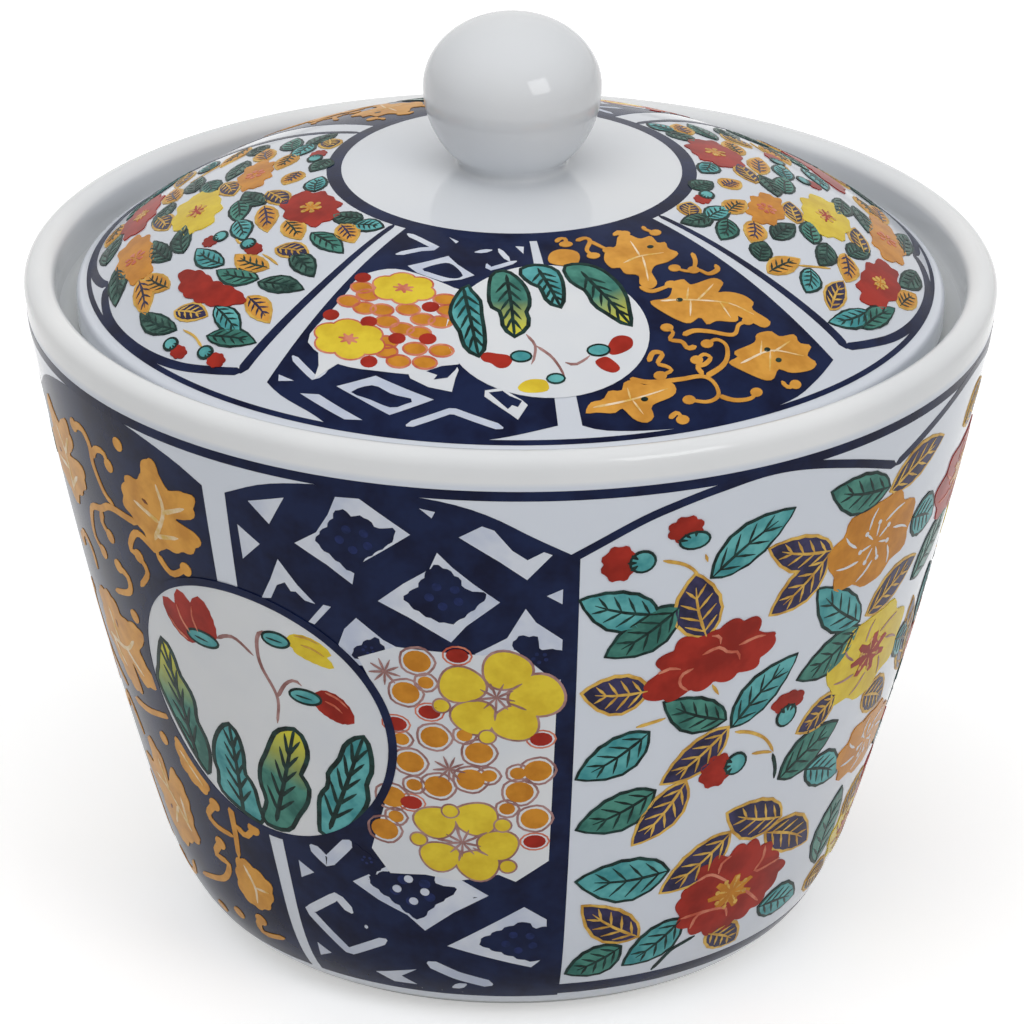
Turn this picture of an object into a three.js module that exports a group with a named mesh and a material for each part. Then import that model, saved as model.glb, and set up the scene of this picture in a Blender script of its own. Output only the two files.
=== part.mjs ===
// Lidded porcelain bowl: a tapered pot with a ledge inside its lip, a domed lid that rests on the ledge
// and a ball knob luted on the lid. Millimetres, +Z up, origin at the centre of the foot's underside.
import * as THREE from 'three';

// Bowl, outside
const RIM_RADIUS = 52.5;
const BOWL_HEIGHT = 74.8;
const LIP_THICKNESS = 3.3;
const LIP_ROUNDING = 1.5;
const LIP_BAND = 4.2;
const LIP_FLARE = 0.5;
const WALL_BULGE = 0.85;
const CORNER_HEIGHT = 13;
const CORNER_RADIUS = 38.3;

// Foot
const FOOT_RADIUS = 28;
const FOOT_WIDTH = 3.5;
const FOOT_HEIGHT = 0.4;
const FOOT_RECESS = 1.4;
const FOOT_SLOPE = 0.6;

// Bowl, inside
const WALL_THICKNESS = 3.6;
const FLOOR_THICKNESS = 4.2;
const INNER_CORNER = 10;
const FLOOR_MARGIN = 12;
const LEDGE_DEPTH = 5.6;
const LEDGE_BEARING = 3.1;
const LEDGE_THICKNESS = 3.2;
const LEDGE_TAPER = 5;
const LEDGE_FILLET = 0.9;
const LEDGE_COVE = 2.1;

// Lid
const LID_SIDE_GAP = 2.3;
const LID_SEAT_GAP = 0.3;
const LID_EDGE_HEIGHT = 3.4;
const LID_EDGE_ROUNDING = 0.8;
const LID_RIM_WIDTH = 4.4;
const LID_RISE = 13.4;
const LID_THICKNESS = 3.3;
const DOME_FULLNESS = 2.45;

// Knob
const KNOB_RADIUS = 9.6;
const KNOB_CROWN = 7.8;
const KNOB_BELLY = 10.2;
const KNOB_LIFT = 9.1;
const NECK_RADIUS = 6.1;
const NECK_FLARE = 0.6;
const NECK_HOLLOW = 0.8;
const SEAT_MARGIN = 0.8;

// Facets
const FACETS_ROUND = 60;
const CURVE_STEPS = 5;
const DOME_STEPS = 10;
const KNOB_STEPS = 4;

// Levels and radii that the pieces share
const rimInner = RIM_RADIUS - LIP_THICKNESS;
const lipLevel = BOWL_HEIGHT - LIP_ROUNDING;
const wallTop = new THREE.Vector2(RIM_RADIUS - LIP_FLARE, lipLevel - LIP_BAND);
const ledgeLevel = BOWL_HEIGHT - LEDGE_DEPTH;
const lidRadius = rimInner - LID_SIDE_GAP;
const ledgeInner = lidRadius - LEDGE_BEARING;
const lidBottom = ledgeLevel + LID_SEAT_GAP;
const domeRadius = lidRadius - LID_EDGE_ROUNDING;
const domeEdge = lidBottom + LID_EDGE_HEIGHT;
const lidTop = domeEdge + LID_RISE;
const neckFoot = NECK_RADIUS + NECK_FLARE;
const seatRadius = neckFoot + SEAT_MARGIN;

// Outer wall: a straight taper from the rounded corner to the lip band, bulged outwards as a parabola.
function wallRadius(level) {
  const share = (level - CORNER_HEIGHT) / (wallTop.y - CORNER_HEIGHT);
  const straight = CORNER_RADIUS + (wallTop.x - CORNER_RADIUS) * share;
  return straight + 4 * WALL_BULGE * share * (1 - share);
}

// Radius of the control point, midway between two levels, that lets one quadratic curve follow the wall.
function wallControl(from, to) {
  return 2 * wallRadius((from + to) / 2) - (wallRadius(from) + wallRadius(to)) / 2;
}

// Radius where the wall's straight tangent from one level towards another reaches a third level.
function tangentRadius(from, to, level) {
  const slope = (wallControl(from, to) - wallRadius(from)) / ((to - from) / 2);
  return wallRadius(from) + slope * (level - from);
}

// Dome curve: flat on the knob's seat, then falling ever faster towards the edge.
function addDome(outline, edgeRadius, edgeLevel, topLevel, outwards) {
  for (let step = 0; step <= DOME_STEPS; step += 1) {
    const share = outwards ? step / DOME_STEPS : 1 - step / DOME_STEPS;
    const radius = seatRadius + (edgeRadius - seatRadius) * share;
    outline.lineTo(radius, edgeLevel + (topLevel - edgeLevel) * (1 - share ** DOME_FULLNESS));
  }
}

// A solid of revolution about Z from an outline that starts and ends on the axis, inside to the left.
function revolve(name, outline, steps, material) {
  const geometry = new THREE.LatheGeometry(outline.getPoints(steps), FACETS_ROUND);
  geometry.rotateX(Math.PI / 2);
  const mesh = new THREE.Mesh(geometry, material);
  mesh.name = name;
  return mesh;
}

function makeBowl() {
  const floorLevel = FOOT_RECESS + FLOOR_THICKNESS;
  const innerCornerTop = floorLevel + INNER_CORNER;
  const ledgeUnderside = ledgeLevel - LEDGE_THICKNESS;
  const innerWallTop = ledgeUnderside - LEDGE_TAPER;
  const innerRadius = (level) => wallRadius(level) - WALL_THICKNESS;
  const wallMiddle = (CORNER_HEIGHT + wallTop.y) / 2;
  const innerMiddle = (innerWallTop + innerCornerTop) / 2;
  const outline = new THREE.Path();
  outline.moveTo(0, FOOT_RECESS);
  outline.lineTo(FOOT_RADIUS - FOOT_WIDTH - FOOT_SLOPE, FOOT_RECESS);
  outline.lineTo(FOOT_RADIUS - FOOT_WIDTH, 0);
  outline.lineTo(FOOT_RADIUS, 0);
  outline.lineTo(FOOT_RADIUS, FOOT_HEIGHT);
  outline.quadraticCurveTo(
    tangentRadius(CORNER_HEIGHT, wallTop.y, FOOT_HEIGHT), FOOT_HEIGHT, CORNER_RADIUS, CORNER_HEIGHT);
  outline.quadraticCurveTo(wallControl(CORNER_HEIGHT, wallTop.y), wallMiddle, wallTop.x, wallTop.y);
  outline.lineTo(RIM_RADIUS, lipLevel);
  outline.absellipse(
    RIM_RADIUS - LIP_THICKNESS / 2, lipLevel, LIP_THICKNESS / 2, LIP_ROUNDING, 0, Math.PI, false);
  outline.lineTo(rimInner, ledgeLevel + LEDGE_COVE);
  outline.quadraticCurveTo(rimInner, ledgeLevel, rimInner - LEDGE_COVE, ledgeLevel);
  outline.lineTo(ledgeInner + LEDGE_FILLET, ledgeLevel);
  outline.quadraticCurveTo(ledgeInner, ledgeLevel, ledgeInner, ledgeLevel - LEDGE_FILLET);
  outline.lineTo(ledgeInner, ledgeUnderside);
  outline.lineTo(innerRadius(innerWallTop), innerWallTop);
  outline.quadraticCurveTo(
    wallControl(innerWallTop, innerCornerTop) - WALL_THICKNESS, innerMiddle,
    innerRadius(innerCornerTop), innerCornerTop);
  const cornerControl = tangentRadius(innerCornerTop, innerWallTop, floorLevel) - WALL_THICKNESS;
  outline.quadraticCurveTo(cornerControl, floorLevel, cornerControl - FLOOR_MARGIN, floorLevel);
  outline.lineTo(0, floorLevel);
  const glaze = new THREE.MeshStandardMaterial({ color: '#d6d8d8', roughness: 0.12, metalness: 0 });
  return revolve('bowl', outline, CURVE_STEPS, glaze);
}

function makeLid() {
  const outline = new THREE.Path();
  outline.moveTo(0, lidTop - LID_THICKNESS);
  addDome(outline, lidRadius - LID_RIM_WIDTH, lidBottom, lidTop - LID_THICKNESS, true);
  outline.lineTo(lidRadius - LID_EDGE_ROUNDING, lidBottom);
  outline.quadraticCurveTo(lidRadius, lidBottom, lidRadius, lidBottom + LID_EDGE_ROUNDING);
  outline.lineTo(lidRadius, domeEdge - LID_EDGE_ROUNDING);
  outline.quadraticCurveTo(lidRadius, domeEdge - LID_EDGE_ROUNDING / 2, domeRadius, domeEdge);
  addDome(outline, domeRadius, domeEdge, lidTop, false);
  outline.lineTo(0, lidTop);
  const glaze = new THREE.MeshStandardMaterial({ color: '#d4d7da', roughness: 0.12, metalness: 0 });
  return revolve('lid', outline, CURVE_STEPS, glaze);
}

function makeKnob() {
  const centre = lidTop + KNOB_LIFT;
  const neckAngle = Math.acos(NECK_RADIUS / KNOB_RADIUS);
  const neckTop = centre - KNOB_BELLY * Math.sin(neckAngle);
  const outline = new THREE.Path();
  outline.moveTo(0, lidTop);
  outline.lineTo(neckFoot, lidTop);
  outline.quadraticCurveTo(NECK_RADIUS - NECK_HOLLOW, lidTop, NECK_RADIUS, neckTop);
  outline.absellipse(0, centre, KNOB_RADIUS, KNOB_BELLY, -neckAngle, 0, false);
  outline.absellipse(0, centre, KNOB_RADIUS, KNOB_CROWN, 0, Math.PI / 2, false);
  const glaze = new THREE.MeshStandardMaterial({ color: '#dadcdb', roughness: 0.1, metalness: 0 });
  return revolve('knob', outline, KNOB_STEPS, glaze);
}

const liddedBowl = new THREE.Group();
liddedBowl.add(makeBowl(), makeLid(), makeKnob());

export default liddedBowl;
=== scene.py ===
"""Porcelain bowl with a domed lid, painted in panels of cobalt, enamels and gold."""
import math

import bpy
import numpy as np
from mathutils import Matrix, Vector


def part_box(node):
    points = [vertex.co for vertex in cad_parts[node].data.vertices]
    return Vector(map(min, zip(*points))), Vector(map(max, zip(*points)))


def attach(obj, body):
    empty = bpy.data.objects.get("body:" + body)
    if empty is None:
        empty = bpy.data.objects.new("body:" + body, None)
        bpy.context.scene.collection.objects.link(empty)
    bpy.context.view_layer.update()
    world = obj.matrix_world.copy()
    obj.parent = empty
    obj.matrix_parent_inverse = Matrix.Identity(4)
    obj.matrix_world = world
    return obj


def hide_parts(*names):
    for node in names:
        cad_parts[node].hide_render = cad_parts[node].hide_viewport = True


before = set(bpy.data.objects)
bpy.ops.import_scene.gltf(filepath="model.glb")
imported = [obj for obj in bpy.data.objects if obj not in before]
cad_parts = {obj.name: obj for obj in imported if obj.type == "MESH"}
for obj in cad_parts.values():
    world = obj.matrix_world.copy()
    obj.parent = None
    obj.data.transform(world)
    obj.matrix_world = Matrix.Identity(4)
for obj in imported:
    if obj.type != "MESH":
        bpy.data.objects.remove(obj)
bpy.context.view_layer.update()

bl_info = {
    "name": "Painted lidded bowl",
    "version": (1, 0, 0),
    "blender": (4, 5, 0),
    "location": "View3D > Sidebar > Bowl",
    "description": "Builds a porcelain bowl, its lid and knob, and their painted panels",
    "category": "Add Mesh",
}

MM = 0.001
BOWL_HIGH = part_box("bowl")[1]
LID_LOW, LID_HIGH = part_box("lid")
KNOB_LOW, KNOB_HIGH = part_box("knob")
ROUND_SEGMENTS = 288
# Points kept along the profile of a painted surface.
SKIN_STEPS = 800
# Angles in degrees past which an edge is shaded sharp.
BODY_SHARP, PAINT_SHARP = 50, 40
# The fitted camera's focal length and the photo's width, in pixels.
PHOTO_FOCAL, PHOTO_WIDTH = 9156.8, 1024


def length(name, description, default):
    """A length in metres that the sidebar shows with its unit."""
    return bpy.props.FloatProperty(
        name=name, description=description, default=default, unit="LENGTH", precision=5
    )


def colour(name, description, default):
    """A colour as an sRGB hex value."""
    return bpy.props.StringProperty(name=name, description=description, default=default)


class BowlSizes(bpy.types.PropertyGroup):
    """Sizes of the bowl's turned profile."""

    rim_radius: length("Rim radius", "Outside radius of the lip", BOWL_HIGH.x)
    height: length("Height", "Foot to top of the lip", BOWL_HIGH.z)
    lip_thickness: length("Lip thickness", "Width of the lip across its top", 0.0033)
    lip_rounding: length("Lip rounding", "Height of the lip's rounded top", 0.0015)
    lip_band: length("Lip band", "Height of the flared band under the lip", 0.0042)
    lip_flare: length("Lip flare", "How far the band leans out", 0.0005)
    bulge: length("Bulge", "How far the wall swells between corner and lip", 0.00085)
    corner_height: length("Corner height", "Height where the wall turns to the foot", 0.013)
    corner_radius: length("Corner radius", "Outside radius at that height", 0.0383)
    foot_radius: length("Foot radius", "Outside radius of the foot", 0.028)
    foot_width: length("Foot width", "Width of the foot ring", 0.0035)
    foot_height: length("Foot height", "Upright edge of the foot ring", 0.0004)
    foot_recess: length("Foot recess", "Depth of the hollow inside the foot", 0.0014)
    foot_slope: length("Foot slope", "Run of the hollow's sloping side", 0.0006)
    wall: length("Wall", "Thickness of the wall", 0.0036)
    floor: length("Floor", "Thickness of the floor over the recess", 0.0042)
    inner_corner: length("Inner corner", "Height of the curve between floor and wall", 0.010)
    floor_margin: length("Floor margin", "Run of that curve along the floor", 0.012)
    ledge_depth: length("Ledge depth", "Lip top down to the lid's ledge", 0.0056)
    ledge_inner: length("Ledge inner radius", "Radius of the opening inside the ledge", 0.0438)
    ledge_thickness: length("Ledge thickness", "Thickness of the ledge at its inner edge", 0.0032)
    ledge_taper: length("Ledge taper", "Height over which the ledge runs into the wall", 0.005)
    ledge_fillet: length("Ledge fillet", "Rounding of the ledge's inner edge", 0.0009)
    ledge_cove: length("Ledge cove", "Hollow rounding from the ledge up to the lip", 0.0021)


class LidSizes(bpy.types.PropertyGroup):
    """Sizes of the lid's turned profile."""

    radius: length("Radius", "Outside radius of the lid", LID_HIGH.x)
    bottom: length("Bottom", "Height of the lid's underside when it is seated", LID_LOW.z)
    top: length("Top", "Height of the flat place under the knob", LID_HIGH.z)
    edge_height: length("Edge height", "Height of the lid's edge", 0.0034)
    edge_rounding: length("Edge rounding", "Rounding of the edge's corners", 0.0008)
    rim_width: length("Rim width", "Width of the flat rim underneath", 0.0044)
    thickness: length("Thickness", "Thickness of the dome", 0.0033)
    seat_radius: length("Seat radius", "Radius of the flat place under the knob", 0.0075)
    fullness: bpy.props.FloatProperty(
        name="Fullness", description="Power of the dome's curve, 2 for a plain bowl shape", default=2.45
    )


class KnobSizes(bpy.types.PropertyGroup):
    """Sizes of the knob's turned profile."""

    radius: length("Radius", "Radius of the ball", KNOB_HIGH.x)
    crown: length("Crown", "Height of the ball above its widest level", 0.0078)
    belly: length("Belly", "Depth of the oval that the ball's lower half follows", 0.0102)
    bottom: length("Bottom", "Height of the knob's foot", KNOB_LOW.z)
    top: length("Top", "Height of the ball's top", KNOB_HIGH.z)
    neck_radius: length("Neck radius", "Radius where the ball meets its neck", 0.0061)
    neck_flare: length("Neck flare", "How far the neck spreads on the lid", 0.0006)
    neck_hollow: length("Neck hollow", "How far the neck's curve is drawn inwards", 0.0008)


class Colours(bpy.types.PropertyGroup):
    """Colours of the glaze and of the paints."""

    glaze: colour("Glaze", "Clear-glazed white porcelain", "#e4e6e8")
    glaze_shade: colour("Glaze shade", "Glaze where it pools, a little bluer", "#dadee4")
    # The bowl's glaze tone, whiter than the lid's and knob's: painted light standing in for the light on the
    # lip's top.
    lip: colour("Lip", "Clear glaze over the bare white lip", "#f2f3f3")
    # Painted shade and painted blue bounce from the cobalt: the glaze outside below the painted levels made
    # darker and bluer.
    wall_painted_shade: colour("Wall stain", "Glaze tinted by the wall's blue", "#d6dce6")
    lid_painted_shade: colour("Lid stain", "Glaze tinted by the lid's blue", "#d3d8e1")
    # Painted shade in the groove under the lid's edge, and the foot ring's bare clay, darkened there as
    # painted contact shade.
    groove_shade_and_bare_foot: colour("Bare clay", "Clay under the lid's edge and at the foot, wiped clean of glaze", "#b0b3b2")
    cobalt: colour("Cobalt", "Underglaze blue", "#172347")
    cobalt_deep: colour("Deep cobalt", "Underglaze blue where it is thick", "#0c1230")
    wash: colour("Wash", "Underglaze blue thinned with water", "#243064")
    reserve: colour("Reserve", "White left in the blue, tinted by it", "#d9dee8")
    reserve_tint: colour("Reserve tint", "Blue that bled into the white", "#c2cadd")
    ink: colour("Ink", "Black-green drawing line", "#14221f")
    ink_thin: colour("Thin ink", "Drawing line where it is thin", "#22403b")
    turquoise: colour("Turquoise", "Turquoise leaf enamel", "#69b6b6")
    turquoise_deep: colour("Deep turquoise", "Turquoise where it pools", "#418e92")
    green: colour("Green", "Sea-green leaf enamel", "#519081")
    green_deep: colour("Deep green", "Green where it pools", "#346a60")
    dusk: colour("Dark green", "Leaf brushed nearly black", "#4d7468")
    dusk_deep: colour("Deep dark green", "Leaf where the black is thick", "#223c36")
    tip: colour("Leaf tip", "Yellow-green at a leaf's tip", "#d8cf3c")
    red: colour("Red", "Iron red", "#ab3023")
    red_deep: colour("Deep red", "Iron red where it is thick", "#8c2419")
    yellow: colour("Yellow", "Yellow enamel", "#e8ce3e")
    yellow_deep: colour("Deep yellow", "Yellow where it pools", "#d8b932")
    orange: colour("Orange", "Orange enamel", "#d5902f")
    orange_deep: colour("Deep orange", "Orange where it pools", "#c07c26")
    gold: colour("Gold", "Matt ochre gold", "#dea147")
    gold_deep: colour("Deep gold", "Ochre gold where it is worn", "#c78a38")
    gold_line: colour("Gold line", "Bright gold pen line", "#dcb45a")
    gold_line_worn: colour("Worn gold line", "Gold pen line where it is thin", "#b88a3c")
    straw: colour("Straw", "Pale vein on a gold leaf", "#f4e2c6")
    navy: colour("Navy", "Dark blue-grey leaf", "#3f3a5e")
    navy_deep: colour("Deep navy", "Dark leaf where it pools", "#29263f")
    mauve: colour("Mauve", "Soft brown-pink line", "#b08a86")
    mauve_deep: colour("Deep mauve", "Brown-pink line where it is thick", "#8c625e")
    blush: colour("Blush", "Pale line on red petals", "#d98a70")
    blush_deep: colour("Deep blush", "Pale line where it is thin", "#c05a44")
    brown: colour("Brown", "Red-brown dash on gold", "#8a4a20")
    brown_deep: colour("Deep brown", "Red-brown where it is thick", "#6a3414")
    floor: colour("Floor", "Plain white table", "#f4f4f4")


class StageSizes(bpy.types.PropertyGroup):
    """The table, the lamps and the camera."""

    distance: length("Camera distance", "Camera to the point it looks at", 1.0)
    elevation: bpy.props.FloatProperty(
        name="Elevation", description="Camera height angle", default=math.radians(23.82), subtype="ANGLE"
    )
    roll: bpy.props.FloatProperty(
        name="Roll", description="Camera tilt to its side", default=math.radians(0.535), subtype="ANGLE"
    )
    aim_side: length("Aim side", "Point looked at, to the right", 0.000377)
    aim_height: length("Aim height", "Point looked at, above the table", 0.0455)
    focal_share: bpy.props.FloatProperty(
        name="Focal share",
        description="Focal length over the frame's width",
        default=PHOTO_FOCAL / PHOTO_WIDTH,
    )
    table_size: length("Table size", "Side of the square table", 6.0)


def linear(hex_value):
    """sRGB hex value to linear red, green, blue and alpha."""
    parts = np.array([int(hex_value[i : i + 2], 16) for i in (1, 3, 5)]) / 255
    flat = np.where(parts <= 0.04045, parts / 12.92, ((parts + 0.055) / 1.055) ** 2.4)
    return (*flat.tolist(), 1.0)


def add_node(tree, kind, inputs=None, **settings):
    """Adds a node, sets its settings, and links or sets its inputs."""
    made = tree.nodes.new(kind)
    for setting, value in settings.items():
        setattr(made, setting, value)
    for socket, value in (inputs or {}).items():
        if isinstance(value, bpy.types.NodeSocket):
            tree.links.new(value, made.inputs[socket])
        else:
            made.inputs[socket].default_value = value
    return made


def calculate(tree, operation, first, second):
    """Result of one sum in a node tree."""
    return add_node(tree, "ShaderNodeMath", {0: first, 1: second}, operation=operation).outputs[0]


def mix_colours(tree, share, first, second):
    """Two colours mixed by a share from 0 to 1."""
    return add_node(tree, "ShaderNodeMix", {0: share, 6: first, 7: second}, data_type="RGBA").outputs[2]


def two_tones(tree, value, start, end, dark, light):
    """Colour that runs from dark to light while a value rises from start to end."""
    ramp = add_node(tree, "ShaderNodeValToRGB", {"Fac": value})
    for stop, position, shade in zip(ramp.color_ramp.elements, (start, end), (dark, light)):
        stop.position = position
        stop.color = linear(shade)
    return ramp.outputs["Color"]


def axes_matrix(side, up, back, place):
    """Matrix of an object at a place, with its own axes along side, up and back."""
    turn = np.eye(4)
    turn[:3] = np.stack([side, up, back, place], 1)
    return Matrix(turn.tolist())


def bend(start, control, end, count):
    """Curve from start to end that leans towards control: (1-t)^2 start + 2t(1-t) control + t^2 end."""
    t = np.linspace(0, 1, count)[:, None]
    return (1 - t) ** 2 * np.array(start) + 2 * t * (1 - t) * np.array(control) + t**2 * np.array(end)


def oval(centre, across, up, start, end, count):
    """Part of an oval: centre + (across cos t, up sin t), t from start to end in degrees."""
    t = np.radians(np.linspace(start, end, count))
    return np.stack([centre[0] + across * np.cos(t), centre[1] + up * np.sin(t)], 1)


def chain(*runs):
    """Joins runs of profile points and drops a point that repeats the one before it."""
    path = np.concatenate([np.atleast_2d(run) for run in runs])
    apart = np.linalg.norm(np.diff(path, axis=0), axis=1) > 1e-7
    return path[np.concatenate([[True], apart])]


def make_piece(name, points, faces, share, material, sharp_angle):
    """Mesh object from whole arrays: points in metres, face index lists and a UV share per point."""
    mesh = bpy.data.meshes.new(name)
    mesh.from_pydata(points.tolist(), [], [face for group in faces for face in group.tolist()])
    if mesh.validate():
        raise RuntimeError(f"{name} has faces that don't fit together")
    corners = np.empty(len(mesh.loops), np.int32)
    mesh.loops.foreach_get("vertex_index", corners)
    mesh.uv_layers.new(name="share").data.foreach_set("uv", share[corners].astype(np.float32).ravel())
    mesh.shade_smooth()
    mesh.set_sharp_from_angle(angle=math.radians(sharp_angle))
    mesh.materials.append(material)
    made = bpy.data.objects.new(name, mesh)
    bpy.context.scene.collection.objects.link(made)
    return made


def turned(name, profile, material):
    """Turns a profile (radius, height) that starts and ends on the axis: point = (r cos a, r sin a, z)."""
    count = ROUND_SEGMENTS
    angle = np.linspace(0, 2 * math.pi, count, endpoint=False)
    radius, height = profile[1:-1, 0], profile[1:-1, 1]
    rows = len(radius)
    across, along = np.outer(radius, np.cos(angle)), np.outer(radius, np.sin(angle))
    grid = np.stack([across, along, np.repeat(height[:, None], count, 1)], -1).reshape(-1, 3)
    low, high = rows * count, rows * count + 1
    points = np.concatenate([grid, [[0, 0, profile[0, 1]], [0, 0, profile[-1, 1]]]])
    first = np.arange(count)
    after = (first + 1) % count
    row = np.arange(rows - 1)[:, None] * count
    corners = [row + first, row + after, row + count + after, row + count + first]
    quads = np.stack(corners, -1).reshape(-1, 4)
    last = (rows - 1) * count
    bottom = np.stack([np.full(count, low), after, first], -1)
    top = np.stack([np.full(count, high), last + first, last + after], -1)
    share = np.zeros((len(points), 2))
    share[: rows * count, 0] = np.tile(angle / (2 * math.pi), rows)
    share[: rows * count, 1] = np.repeat(np.linspace(0, 1, rows), count)
    return make_piece(name, points, [quads, bottom, top], share, material, BODY_SHARP)


def outer_wall(sizes):
    """Outside of the bowl from the foot to the lip's level: two leaning curves and a flared band."""
    corner = np.array([sizes.corner_radius, sizes.corner_height])
    lip_level = sizes.height - sizes.lip_rounding
    band = np.array([sizes.rim_radius - sizes.lip_flare, lip_level - sizes.lip_band])
    middle = (corner + band) / 2 + np.array([2 * sizes.bulge, 0])
    lean = (middle[0] - corner[0]) / (middle[1] - corner[1])
    foot = np.array([sizes.foot_radius, sizes.foot_height])
    turn = np.array([corner[0] + lean * (foot[1] - corner[1]), foot[1]])
    return chain(
        bend(foot, turn, corner, 18),
        bend(corner, middle, band, 34),
        bend(band, [sizes.rim_radius - sizes.lip_flare / 3, lip_level - sizes.lip_band / 2],
             [sizes.rim_radius, lip_level], 7),
    )


def bowl_profile(sizes):
    """Whole section of the bowl: recess, foot, outer wall, lip, ledge, inner wall and floor."""
    outer = outer_wall(sizes)
    lip_level = sizes.height - sizes.lip_rounding
    lip_inner = sizes.rim_radius - sizes.lip_thickness
    ledge = sizes.height - sizes.ledge_depth
    fillet, cove = sizes.ledge_fillet, sizes.ledge_cove
    ledge_low = ledge - sizes.ledge_thickness
    taper_end = ledge_low - sizes.ledge_taper
    floor = sizes.foot_recess + sizes.floor
    inner_low = floor + sizes.inner_corner
    level = np.linspace(taper_end, inner_low, 24)
    inner = np.stack([np.interp(level, outer[:, 1], outer[:, 0]) - sizes.wall, level], 1)
    lean = (inner[-2, 0] - inner[-1, 0]) / (inner[-2, 1] - inner[-1, 1])
    turn = [inner[-1, 0] - lean * sizes.inner_corner, floor]
    floor_edge = [inner[-1, 0] - sizes.floor_margin, floor]
    recess_edge = sizes.foot_radius - sizes.foot_width
    return chain(
        np.linspace([0, sizes.foot_recess], [recess_edge - sizes.foot_slope, sizes.foot_recess], 8),
        np.linspace([recess_edge, 0], [sizes.foot_radius, 0], 4),
        outer,
        oval([sizes.rim_radius - sizes.lip_thickness / 2, lip_level], sizes.lip_thickness / 2,
             sizes.lip_rounding, 0, 180, 17),
        np.linspace([lip_inner, lip_level], [lip_inner, ledge + cove], 4),
        oval([lip_inner - cove, ledge + cove], cove, cove, 0, -90, 10),
        oval([sizes.ledge_inner + fillet, ledge - fillet], fillet, fillet, 90, 180, 6),
        np.linspace([sizes.ledge_inner, ledge - fillet], [sizes.ledge_inner, ledge_low], 3),
        np.linspace([sizes.ledge_inner, ledge_low], inner[0], 5),
        inner,
        bend(inner[-1], turn, floor_edge, 10),
        np.linspace(floor_edge, [0, floor], 10),
    )


def dome(sizes, edge, low, high, count):
    """Dome from its edge up to the flat seat: height = low + (high - low)(1 - share^fullness)."""
    radius = np.linspace(edge, sizes.seat_radius, count)
    share = (radius - sizes.seat_radius) / (edge - sizes.seat_radius)
    return np.stack([radius, low + (high - low) * (1 - share**sizes.fullness)], 1)


def lid_top(sizes):
    """Outside of the lid from its edge up to the middle."""
    edge = sizes.radius - sizes.edge_rounding
    return chain(
        dome(sizes, edge, sizes.bottom + sizes.edge_height, sizes.top, 60),
        np.linspace([sizes.seat_radius, sizes.top], [0, sizes.top], 4),
    )


def lid_profile(sizes):
    """Whole section of the lid: hollow underside, flat rim, rounded edge and dome."""
    rounding = sizes.edge_rounding
    edge = sizes.radius - rounding
    rim = sizes.radius - sizes.rim_width
    under = dome(sizes, rim, sizes.bottom, sizes.top - sizes.thickness, 40)[::-1]
    upper = sizes.bottom + sizes.edge_height - rounding
    return chain(
        np.linspace([0, sizes.top - sizes.thickness], under[0], 4),
        under,
        np.linspace([rim, sizes.bottom], [edge, sizes.bottom], 4),
        oval([edge, sizes.bottom + rounding], rounding, rounding, -90, 0, 6),
        oval([edge, upper], rounding, rounding, 0, 90, 6),
        lid_top(sizes),
    )


def knob_profile(sizes):
    """Whole section of the knob: foot, short hollow neck and an oval ball."""
    middle = sizes.top - sizes.crown
    meet = math.acos(sizes.neck_radius / sizes.radius)
    foot = [sizes.neck_radius + sizes.neck_flare, sizes.bottom]
    hollow = [sizes.neck_radius - sizes.neck_hollow, sizes.bottom]
    neck_top = [sizes.neck_radius, middle - sizes.belly * math.sin(meet)]
    return chain(
        np.linspace([0, sizes.bottom], foot, 4),
        bend(foot, hollow, neck_top, 12),
        oval([0, middle], sizes.radius, sizes.belly, -math.degrees(meet), 0, 24),
        oval([0, middle], sizes.radius, sizes.crown, 0, 90, 32),
    )


# Tops of the painted wall and of the painted lid, under which the glaze outside is given painted shade and
# blue bounce, of the bare foot ring with its painted contact shade, and of no paint at all.
PAINTED_WALL, PAINTED_LID, SHADED_BARE_FOOT, UNPAINTED = 71.5 * MM, 85.5 * MM, 2.0 * MM, 0.0
# The groove's painted shade: start under the ledge, end as a share of the cove, its strength, and up to
# which share it is full.
GROOVE_DROP, GROOVE_COVE, GROOVE_SHADE_STRENGTH, GROOVE_FULL = 0.8 * MM, 0.9, 0.7, 0.3
# Half the height over which the painted shade and blue bounce fade out.
PAINTED_SHADE_BLUR = 0.3 * MM
# Roughness of glaze and of the matt shaded groove and bare foot, refraction of glaze and paint, and the
# paint's specular level.
GLAZE_ROUGHNESS, GROOVE_AND_FOOT_ROUGHNESS = 0.06, 0.6
GLAZE_IOR, PAINT_IOR, PAINT_SHINE = 1.5, 1.45, 0.1
# Where in the noise the two tones of glaze and of paint start and end, and a yellow tip along its leaf.
GLAZE_TONES, PAINT_TONES, TIP_SPAN = (0.3, 0.7), (0.36, 0.62), (0.45, 0.95)


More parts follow.
